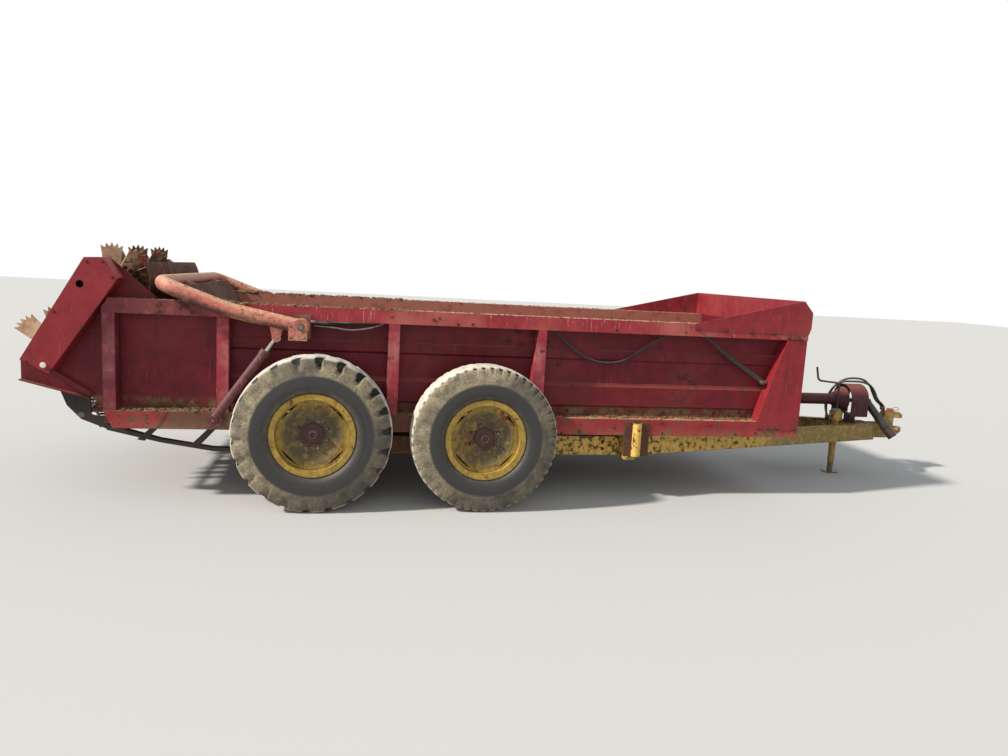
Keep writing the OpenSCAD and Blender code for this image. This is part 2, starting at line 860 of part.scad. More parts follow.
module bogie() {
    color(rust) at_axle() both_sides() {
        translate([-wheelbase - 75, bogie_in, bogie_low])
            cube([wheelbase + 150, bogie_out - bogie_in, bogie_high - bogie_low]);
        spindle(0, front_tyre_r);
        spindle(-wheelbase, rear_tyre_r);
        translate([bogie_pin_x, bogie_in, 410]) rotate([90, 0, 0]) cylinder(r = 45, h = bogie_in - beam_y);
    }
}

// Tyres and rims, revolved about the wheel axis
rim_seat_r = 256;

// Shoulder notches of the front and rear tyres: count, stations round each and depth at the tread
notch_table = [[26, 2, 24], [22, 3, 34]];

// Tyre section at one station, from the bore round the outside, with the shoulders drawn in by cut
function tyre_section(r, cut) =
    let (h = tyre_w / 2)
        [
            [rim_seat_r + 0.6, -h + 33], [flange_r + 1, -h + 30], [flange_r + 80, -h],
            [r - 48 - cut / 4, -h + 10 + cut], [r, -h + 44], [r, h - 44],
            [r - 48 - cut / 4, h - 10 - cut], [flange_r + 80, h], [flange_r + 1, h - 30],
            [rim_seat_r + 0.6, h - 33]
        ];

// A tyre stands on one flat of its tread, so it doesn't roll off a corner
module tyre(r, kind) {
    step_n = notch_table[kind][1];
    n = notch_table[kind][0] * step_n;
    half_step = 180 / n;
    rings = [for (i = [0:n - 1])
        let (a = (2 * i + 1) * half_step - 90)
            [for (q = tyre_section(r, i % step_n == 0 ? notch_table[kind][2] : 0))
                let (x = q[0] >= r ? r / cos(half_step) : q[0]) [x * cos(a), q[1], x * sin(a)]]];
    m = len(rings[0]);
    polyhedron(
        points = [for (ring = rings) each ring],
        faces = [for (i = [0:n - 1]) for (k = [0:m - 1])
            [i * m + k, i * m + (k + 1) % m, ((i + 1) % n) * m + (k + 1) % m, ((i + 1) % n) * m + k]]
    );
}

disc_r = 232;
disc_flat = 219;
bolt_circle_r = 104;

module rim() {
    h = tyre_w / 2 - 22;
    rotate([90, 0, 0]) {
        rotate_extrude($fn = 64)
            polygon([
                [rim_seat_r - 8, -h], [flange_r - 4, -h - 1], [flange_r, -h + 4], [flange_r - 4, -h + 6],
                [rim_seat_r, -h + 10], [rim_seat_r, h - 10], [flange_r - 4, h - 6], [flange_r, h - 4],
                [flange_r - 4, h + 1], [rim_seat_r - 8, h]
            ]);
        difference() {
            rotate_extrude($fn = 64)
                polygon([
                    [spindle_r + 60, 40], [150, 40], [205, 62], [rim_seat_r - 7, 62], [rim_seat_r - 7, 72],
                    [200, 72], [145, 50], [spindle_r + 60, 50]
                ]);
            for (i = [0:7])
                rotate([0, 0, i * 45 + 22.5]) translate([bolt_circle_r, 0, 0]) cylinder(r = 9, h = 100);
            for (i = [0:3])
                rotate([0, 0, i * 90 + 45])
                    linear_extrude(height = 100)
                        difference() {
                            intersection() {
                                circle(r = disc_r);
                                translate([disc_flat, -150]) square([60, 300]);
                            }
                            circle(r = disc_flat);
                        }
        }
    }
}

module hub() {
    rotate([90, 0, 0])
        difference() {
            union() {
                translate([0, 0, hub_in - wheel_y]) cylinder(r = 62, h = hub_out - hub_in - 20);
                translate([0, 0, hub_in - wheel_y]) cylinder(r = 50, h = hub_out - hub_in);
                translate([0, 0, 28]) cylinder(r = 100, h = 12);
            }
            translate([0, 0, hub_in - wheel_y - 1]) cylinder(r = spindle_r + 0.05, h = hub_out - hub_in - 8);
        }
}

module at_wheel(x, side, r) {
    at_axle() translate([x, side * wheel_y, r]) mirror([0, side > 0 ? 1 : 0, 0]) children();
}

module tyre_front_right() {
    color(dark) at_wheel(0, -1, front_tyre_r) tyre(front_tyre_r, 0);
}

module tyre_front_left() {
    color(dark) at_wheel(0, 1, front_tyre_r) tyre(front_tyre_r, 0);
}

module tyre_rear_right() {
    color(dark) at_wheel(-wheelbase, -1, rear_tyre_r) tyre(rear_tyre_r, 1);
}

module tyre_rear_left() {
    color(dark) at_wheel(-wheelbase, 1, rear_tyre_r) tyre(rear_tyre_r, 1);
}

module wheel_centre() {
    color(yellow) {
        rim();
        hub();
    }
}

module rim_front_right() {
    at_wheel(0, -1, front_tyre_r) wheel_centre();
}

module rim_front_left() {
    at_wheel(0, 1, front_tyre_r) wheel_centre();
}

module rim_rear_right() {
    at_wheel(-wheelbase, -1, rear_tyre_r) wheel_centre();
}

module rim_rear_left() {
    at_wheel(-wheelbase, 1, rear_tyre_r) wheel_centre();
}

// Jack on the right of the drawbar
jack_x = nose - jack_back;
jack_foot = 105;
crank_r = 9;
crank_bend_r = 45;

module jack_body() {
    color(yellow) at_axle() translate([jack_x, jack_y, 0]) {
        difference() {
            union() {
                translate([0, 0, jack_foot]) cylinder(r = jack_tube_r, h = 500 - jack_foot);
                translate([-45, -38, 500]) cube([90, 76, 90]);
            }
            translate([0, 0, jack_foot - 1]) cylinder(r = jack_tube_r - 5, h = 480 - jack_foot);
        }
        translate([-25, jack_tube_r - 3, 375])
            cube([50, -jack_y - cheek_half - seat_gap - jack_tube_r + 3, 75]);
        rearward(-20)
            bent_rod([[12, 580], [12, 855], [235, 875], [262, 1000]], crank_r, crank_bend_r);
    }
}

module jack_leg() {
    color(steel) at_axle() translate([jack_x, jack_y, 0]) {
        translate([0, 0, 8]) cylinder(r = jack_tube_r - 5.05, h = 362);
        translate([-60, -45, 0]) cube([120, 90, 8]);
    }
}

// Driveline from the front shield to the rear gearbox
pto_z = 684;
line_z = 400;
joint_x = nose - 390;
joint_z = 660;

module driveline() {
    color(red) at_axle() {
        bar([stand_x - 5, 0, pto_z], [shield_rear - 121, 0, pto_z], guard_r);
        translate([shield_rear - 121, 0, pto_z]) rotate([0, 90, 0]) cylinder(r1 = guard_r, r2 = 120, h = 120);
        bar([stand_x - 5, 0, pto_z], [2450, 0, line_z + 10], 34);
        translate([2450, 0, line_z + 10]) sphere(r = 37);
        bar([2450, 0, line_z + 10], [gear_x + 71, 0, gear_z], 30);
        bar([shield_rear - 1, 0, pto_z], [joint_x - 38.3, 0, joint_z + 4], 20);
        translate([stand_x - 25, -25, tie_z + tie_h]) cube([50, 50, pto_z - tie_z - tie_h]);
        translate([shield_rear - 61, -25, beam_top + 4]) cube([50, 50, pto_z - beam_top - 4]);
        translate([shield_rear - 66, -cheek_half, beam_top + seat_gap]) cube([60, 2 * cheek_half, 8]);
    }
}

shield_rear = nose - 660;
shield_front = nose - 480;
shield_r = 150;
shield_foot = 540;

module pto_shield() {
    color(red) at_axle() {
        along_x(shield_rear, shield_front)
            difference() {
                union() {
                    translate([0, pto_z]) circle(r = shield_r);
                    translate([-shield_r, shield_foot]) square([2 * shield_r, pto_z - shield_foot]);
                }
                translate([0, pto_z]) circle(r = shield_r - 5);
                translate([5 - shield_r, shield_foot - 100]) square([2 * shield_r - 10, pto_z - shield_foot + 100]);
                translate([-shield_r - 1, shield_foot - 100]) square([2 * shield_r + 2, 100]);
            }
        translate([shield_rear + 60, 1 - shield_r, shield_foot]) cube([80, 2 * shield_r - 2, 6]);
        translate([shield_rear + 70, -cheek_half, beam_top + seat_gap])
            cube([60, 2 * cheek_half, shield_foot + 1 - beam_top - seat_gap]);
    }
}

shaft_end = [nose - 220, -200, 360];
yoke_bore_r = 17.5;
yoke_bore = 60;

module pto_shaft() {
    start = [joint_x, 0, joint_z];
    back = (start - shaft_end) / norm(start - shaft_end);
    across = [-back[1], back[0], 0] / norm([back[0], back[1]]);
    color(dark) at_axle()
        difference() {
            union() {
                translate(start) sphere(r = 38);
                bar(start, start - 43 * across, 13);
                bar(start, shaft_end, 36);
                bar(shaft_end + back * 90, shaft_end, 41);
            }
            bar(shaft_end + back * yoke_bore, shaft_end - back * 5, yoke_bore_r);
        }
}

// Hoses under the right rail and over the shield, each a swept tube; the first is measured from the rail's face
hose_r = 10;
side_route = [
    [-1229.6, -11, 1290], [-1190, -11, 1285], [-1130, 3, 1278], [-1070, 38, 1275],
    [-1000, 59, 1275],
    [-900, 63, 1278], [-780, 60, 1290], [-710, 53, 1317], [-640, 33, 1318],
    [-400, 28, 1313], [-100, 28, 1313], [200, 28, 1313], [430, 38, 1316],
    [500, 60, 1306], [560, 63, 1270], [640, 71, 1205], [740, 75, 1140], [850, 76, 1100],
    [980, 76, 1087], [1110, 75, 1105], [1220, 73, 1150], [1320, 69, 1215],
    [1400, 63, 1270], [1470, 60, 1308], [1560, 38, 1316], [1660, 38, 1316],
    [1740, 62, 1302], [1830, 66, 1245], [1950, 71, 1165], [2080, 73, 1085],
    [2210, 70, 1005], [2300, 63, 950], [2326, 60, 936]
];
front_route = [
    [3574, 60, 472.5], [3576, 64, 500], [3582, 110, 540], [3596, 152, 600], [3622, 168, 690],
    [3664, 150, 780], [3716, 95, 838], [3786, 40, 852], [3866, 12, 851], [3950, 8, 822],
    [4012, 18, 765], [4046, 26, 712], [4084, 32, 668], [4126, 37, 638], [4148, 39, 612],
    [4151, 39, 577.6]
];

function unit(v) = v / norm(v);
function route_dir(p, i) = unit(p[min(i + 1, len(p) - 1)] - p[max(i - 1, 0)]);
function ring(p, i, r, n) =
    let (d = route_dir(p, i), s = unit(cross(d, [0.13, 0.2, 1])), t = cross(s, d))
        [for (k = [0:n - 1]) p[i] + r * (cos(360 * k / n) * s + sin(360 * k / n) * t)];

module swept_tube(p, r, n) {
    m = len(p);
    polyhedron(
        points = [for (i = [0:m - 1]) each ring(p, i, r, n)],
        faces = concat(
            [[for (k = [0:n - 1]) k]],
            [[for (k = [n - 1:-1:0]) (m - 1) * n + k]],
            [for (i = [0:m - 2]) for (k = [0:n - 1])
                [i * n + k, (i + 1) * n + k, (i + 1) * n + (k + 1) % n, i * n + (k + 1) % n]]
        )
    );
}

module hoses() {
    color(dark) at_axle() {
        swept_tube([for (q = side_route) [q[0], q[1] - edge_half, q[2]]], hose_r, 8);
        swept_tube(front_route, hose_r, 8);
    }
}

frame_beams();
cross_members();
hitch_clevis();
sills();
side_wall_right();
side_wall_left();
posts();
rail_right();
rail_left();
front_wall();
front_extension();
side_extensions();
corner_gussets();
floor();
apron();
apron_shafts();
rear_struts();
rear_side_right();
rear_side_left();
chain_cover();
side_drive();
lower_beater();
upper_beater();
beater_bearings();
beater_hood();
gate_frame();
gate_panel();
gate_brackets();
cylinder_barrel_right();
cylinder_barrel_left();
cylinder_rod_right();
cylinder_rod_left();
bogie();
tyre_front_right();
tyre_front_left();
tyre_rear_right();
tyre_rear_left();
rim_front_right();
rim_front_left();
rim_rear_right();
rim_rear_left();
jack_body();
jack_leg();
driveline();
pto_shield();
pto_shaft();
hoses();
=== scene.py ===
import math

import bmesh
import bpy
import numpy as np
from mathutils import Matrix, Vector


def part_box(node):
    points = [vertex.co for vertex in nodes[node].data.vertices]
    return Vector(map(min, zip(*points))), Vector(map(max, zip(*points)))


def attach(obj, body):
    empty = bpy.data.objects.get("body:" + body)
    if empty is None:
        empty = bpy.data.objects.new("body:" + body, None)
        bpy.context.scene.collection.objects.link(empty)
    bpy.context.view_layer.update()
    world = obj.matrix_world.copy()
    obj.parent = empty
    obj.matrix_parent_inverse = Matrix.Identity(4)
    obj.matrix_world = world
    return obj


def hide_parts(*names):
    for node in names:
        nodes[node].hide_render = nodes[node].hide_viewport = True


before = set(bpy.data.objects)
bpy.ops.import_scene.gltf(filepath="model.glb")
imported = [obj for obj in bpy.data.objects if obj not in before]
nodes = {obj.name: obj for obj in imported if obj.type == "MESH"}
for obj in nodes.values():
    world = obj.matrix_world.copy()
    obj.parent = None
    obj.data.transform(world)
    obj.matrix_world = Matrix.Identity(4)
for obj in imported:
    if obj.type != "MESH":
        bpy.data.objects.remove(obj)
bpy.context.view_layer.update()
print("frame loaded", len(nodes), "nodes")


def linearColor(code):
    # sRGB hex to linear: c/12.92 below 0.04045, else ((c + 0.055)/1.055)^2.4
    parts = [int(code[i:i + 2], 16) / 255 for i in (1, 3, 5)]
    return [c / 12.92 if c <= 0.04045 else ((c + 0.055) / 1.055) ** 2.4 for c in parts] + [1.0]


def boxCenter(node):
    # half the sum of the box's two corners
    low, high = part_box(node)
    return (low + high) / 2


# drawing stations are millimetres from the front axle, the scene is in metres from the row's origin
axleX = boxCenter("rim_front_right").x
rearAxleX = boxCenter("rim_rear_right").x
frontRadius = boxCenter("rim_front_right").z
rearRadius = boxCenter("rim_rear_right").z
wheelY = 1.143
# outer faces in millimetres from the middle: sills and rails, box wall, beams, front plates, chain cover
sillFace, wallFace, beamFace, plateFace, coverFace = 963, 836, 800, 968, 990
proud = 0.2  # bolt heads and washers stand this far off a face


def at(points):
    # stations to the scene: p/1000 + (axleX, 0, 0)
    return np.atleast_2d(np.asarray(points, float)) / 1000 + (axleX, 0, 0)


# camera first, solved from the photograph's straight edges
cameraSettings = {
    "x": -0.9231, "y": -6.4089, "z": 1.7006, "yaw": 0.1969, "pitch": 0.1377, "roll": 0.0555,
    "focalPx": 757.84, "widthPx": 1008,
}


def photoCamera(s):
    # looks along (sin yaw cos pitch, cos yaw cos pitch, -sin pitch), rolled about that line;
    # lens = focal length in pixels * sensor width / picture width
    yaw, pitch, roll = s["yaw"], s["pitch"], s["roll"]
    ahead = Vector((math.sin(yaw) * math.cos(pitch), math.cos(yaw) * math.cos(pitch), -math.sin(pitch)))
    right = Vector((math.cos(yaw), -math.sin(yaw), 0))
    upward = right.cross(ahead)
    c, k = math.cos(roll), math.sin(roll)
    right, upward = c * right + k * upward, -k * right + c * upward
    data = bpy.data.cameras.new("photoCamera")
    data.sensor_width = 36
    data.lens = s["focalPx"] * data.sensor_width / s["widthPx"]
    camera = bpy.data.objects.new("photoCamera", data)
    turn = Matrix((right, upward, -ahead)).transposed().to_4x4()
    camera.matrix_world = Matrix.Translation((s["x"] + axleX, s["y"], s["z"])) @ turn
    bpy.context.scene.collection.objects.link(camera)
    bpy.context.scene.camera = camera


photoCamera(cameraSettings)


def addNode(tree, kind, inputs=(), out=0, **settings):
    # one shader node: settings are its own properties, inputs its sockets by place or name; gives one output
    node = tree.nodes.new("ShaderNode" + kind)
    for key, value in settings.items():
        setattr(node, key, value)
    pairs = inputs.items() if isinstance(inputs, dict) else enumerate(inputs)
    for key, value in pairs:
        if isinstance(value, bpy.types.NodeSocket):
            tree.links.new(value, node.inputs[key])
        elif value is not None:
            node.inputs[key].default_value = value
    return node.outputs[out]


# settings that many nodes share
soft = {"interpolation_type": "SMOOTHSTEP"}
mixed = {"out": 2, "data_type": "RGBA"}
product = {"operation": "MULTIPLY"}
larger = {"operation": "MAXIMUM"}
scaledSum = {"operation": "MULTIPLY_ADD"}


def hues(s):
    # every colour in a settings dictionary, made linear
    return {key: linearColor(value) for key, value in s.items() if str(value).startswith("#")}


def newMaterial(name):
    # an empty material with its tree and its surface node
    mat = bpy.data.materials.new(name)
    mat.use_nodes = True
    return mat, mat.node_tree, mat.node_tree.nodes["Principled BSDF"]


def weathered(name, s):
    # a film or skin on steel that has stood outdoors: chalky where it faces the sky, scratched down its
    # height, chipped to rust at edges and in patches, with field dust on ledges and low down; painted light on
    # inward faces, painted shade on faces turned down and round wheel hubs
    mat, tree, shader = newMaterial(name)
    hue = hues(s)
    coords = addNode(tree, "TexCoord", out="Object")
    normal = addNode(tree, "TexCoord", out="Normal")
    across = addNode(tree, "SeparateXYZ", (coords,), "Y")
    height = addNode(tree, "SeparateXYZ", (coords,), "Z")
    along = addNode(tree, "SeparateXYZ", (coords,), s["bandAxis"])
    up = addNode(tree, "SeparateXYZ", (normal,), "Z")
    outward = addNode(tree, "Math", (addNode(tree, "SeparateXYZ", (normal,), "Y"), across), **product)
    # scratches are noise drawn out along Z, 11 mm apart and about 200 mm long; stains run 60 by 700 mm
    drawn = addNode(tree, "Mapping", {"Vector": coords, "Scale": (1000 / 11, 1000 / 11, 1000 / 200)})
    runDown = addNode(tree, "Mapping", {"Vector": coords, "Scale": (1000 / 60, 1000 / 60, 1000 / 700)})
    big, mid, fine, scratch, stain = [
        addNode(tree, "TexNoise", {"Vector": vector, "Scale": scale, "Detail": detail, "Roughness": rough})
        for vector, scale, detail, rough in (
            (coords, 1000 / s["patchMm"], 3.0, 0.5), (coords, 1000 / s["chipMm"], 7.0, 0.66),
            (coords, 1000 / s["grainMm"], 4.0, 0.7), (drawn, 1.0, 4.0, 0.75), (runDown, 1.0, 5.0, 0.6),
        )
    ]
    toneMask = addNode(tree, "MapRange", (mid, 0.35, 0.65), **soft)
    upper = addNode(tree, "MapRange", (height, s["upperAt"], s["upperAt"] + 0.01))
    uneven = addNode(tree, "MapRange", (mid, 0.32, 0.5, 0.55, 1.0), **soft)
    # another tone past a place on one axis, up to a second place: for example rust-brown on the sills, and
    # painted shade on the rear of the rails and posts and on the paddles away from the near side
    band = addNode(tree, "MapRange", (along, s["bandFrom"], s["bandTo"], 0.0, s["bandMix"]))
    inBand = addNode(tree, "Math", (along, s["bandStop"]), operation="GREATER_THAN")
    band = addNode(tree, "Math", (band, inBand), **product)
    band = addNode(tree, "Math", (band, uneven), **product)
    # painted shade in a wheel's recessed disc round its hub and on faces turned downward
    fromHub = addNode(tree, "VectorMath", (coords, s["hub"]), operation="SUBTRACT")
    fromHub = addNode(tree, "VectorMath", (fromHub, (1.0, 0.0, 1.0)), **product)
    fromHub = addNode(tree, "VectorMath", (fromHub,), "Value", operation="LENGTH")
    paintedShade = addNode(tree, "MapRange", (fromHub, s["shadeRadius"], s["shadeRadius"] - 0.05, 0.0, s["paintedShade"]))
    below = addNode(tree, "MapRange", (up, 0.15, -0.6, 0.0, s["under"]), **soft)
    paintedShade = addNode(tree, "Math", (paintedShade, below), **larger)
    paintedShade = addNode(tree, "Math", (paintedShade, uneven), **product)
    stainMask = addNode(tree, "MapRange", (stain, 0.52, 0.74, 0.0, s["stain"]), **soft)
    fadeAndPaintedLight = addNode(tree, "MapRange", (up, 0.25, 0.9, 0.0, s["topFade"]), **soft)
    patchFade = addNode(tree, "MapRange", (big, 0.46, 0.68, 0.0, s["patchFade"]), **soft)
    fadeAndPaintedLight = addNode(tree, "Math", (fadeAndPaintedLight, patchFade), **larger)
    # inward faces take the fade tone: painted light on the box's inner walls, with some fading
    inner = addNode(tree, "MapRange", (outward, -0.2, -0.6, 0.0, s["inside"]), **soft)
    inner = addNode(tree, "Math", (inner, uneven), **product)
    fadeAndPaintedLight = addNode(tree, "Math", (fadeAndPaintedLight, inner), **larger)
    scratchMask = addNode(tree, "MapRange", (scratch, 0.60, 0.68, 0.0, s["scratch"]), **soft)
    where = addNode(tree, "MapRange", (big, 0.56, 0.42, 0.1, 1.0), **soft)
    scratchMask = addNode(tree, "Math", (scratchMask, where), **product)
    # rust where coarse and fine noise agree, more along edges, which a bevel's turned normal finds
    bevel = addNode(tree, "Bevel", {"Radius": 0.006}, samples=4)
    world = addNode(tree, "NewGeometry", out="Normal")
    bend = addNode(tree, "VectorMath", (bevel, world), "Value", operation="DOT_PRODUCT")
    edge = addNode(tree, "MapRange", (bend, 0.99, 0.9, 0.0, s["edge"]), **soft)
    edge = addNode(tree, "Math", (edge, fine), **product)
    low = addNode(tree, "MapRange", (height, s["dustHeight"], s["dustFoot"]), **soft)
    patch = 0.0
    for value, weight in ((big, 0.4), (mid, 0.6), (edge, 0.45), (low, s["lowRust"])):
        patch = addNode(tree, "Math", (value, weight, patch), **scaledSum)
    rustMask = addNode(tree, "MapRange", (patch, s["rustAt"], s["rustAt"] + 0.025, 0.0, s["rustMix"]), **soft)
    rustTone = addNode(tree, "MapRange", (fine, 0.35, 0.65), **soft)
    rust = addNode(tree, "Mix", {0: rustTone, 6: hue["rust"], 7: hue["rustAlt"]}, **mixed)
    low = addNode(tree, "Math", (low, s["dustLow"]), **product)
    ledge = addNode(tree, "MapRange", (up, 0.5, 0.95, 0.0, s["dustTop"]), **soft)
    dust = addNode(tree, "Math", (low, ledge), **larger)
    cover = addNode(tree, "MapRange", (mid, 0.38, 0.58, 0.1, 1.0), **soft)
    dust = addNode(tree, "Math", (dust, cover), **product)
    dustTone = addNode(tree, "Mix", {0: rustTone, 6: hue["dust"], 7: hue["dustAlt"]}, **mixed)
    # the layers go on in order; the hub and underside layer is painted shade, the fade layer carries painted
    # light, the band is painted shade in some shades
    layers = (
        (toneMask, hue["alt"]), (upper, hue["upperTone"]), (paintedShade, hue["stainTone"]),
        (stainMask, hue["stainTone"]), (fadeAndPaintedLight, hue["fade"]), (scratchMask, hue["scratchTone"]),
        (band, hue["bandTone"]), (rustMask, rust), (dust, dustTone),
    )
    color = hue["base"]
    for mask, tone in layers:
        color = addNode(tree, "Mix", {0: mask, 6: color, 7: tone}, **mixed)
    tree.links.new(color, shader.inputs["Base Color"])
    matt = addNode(tree, "Math", (rustMask, dust), **larger)
    rough = addNode(tree, "MapRange", (matt, 0.0, 1.0, s["rough"], 0.92))
    tree.links.new(rough, shader.inputs["Roughness"])
    shader.inputs["Metallic"].default_value = s["metal"]
    shader.inputs["Specular IOR Level"].default_value = s["gloss"]
    # dents a few hundred millimetres across, grain of the film, and the step down into a rust patch
    relief = 0.0
    for value, weight in ((big, s["dent"]), (mid, 0.25), (fine, s["grain"]), (rustMask, -0.08)):
        relief = addNode(tree, "Math", (value, weight, relief), **scaledSum)
    bump = addNode(tree, "Bump", {"Strength": s["bump"], "Distance": 0.012, "Height": relief})
    tree.links.new(bump, shader.inputs["Normal"])
    return mat


filmDefaults = {
    "patchMm": 620, "chipMm": 90, "grainMm": 13, "stain": 0.35, "stainTone": "#45191D", "topFade": 0.55,
    "patchFade": 0.2, "inside": 0.0, "scratch": 0.5, "scratchTone": "#B98078", "edge": 0.9,
    "rustAt": 0.60, "rustMix": 0.9, "lowRust": 0.0, "rust": "#33191A", "rustAlt": "#5E3426",
    "dustHeight": 0.75, "dustFoot": 0.15, "dustLow": 0.35, "dustTop": 0.5, "dust": "#8A6E52",
    "dustAlt": "#6A4E3A", "rough": 0.54, "metal": 0.0, "gloss": 0.3, "dent": 0.7, "grain": 0.12,
    "bump": 0.4, "upperAt": 99.0, "upperTone": "#1E1A19", "under": 0.3, "bandAxis": "X",
    "bandFrom": 0.0, "bandTo": 1.0, "bandStop": -99.0, "bandMix": 0.0, "bandTone": "#5E4434",
    "hub": (0.0, 0.0, 0.0), "shadeRadius": 0.0, "paintedShade": 0.0,
}
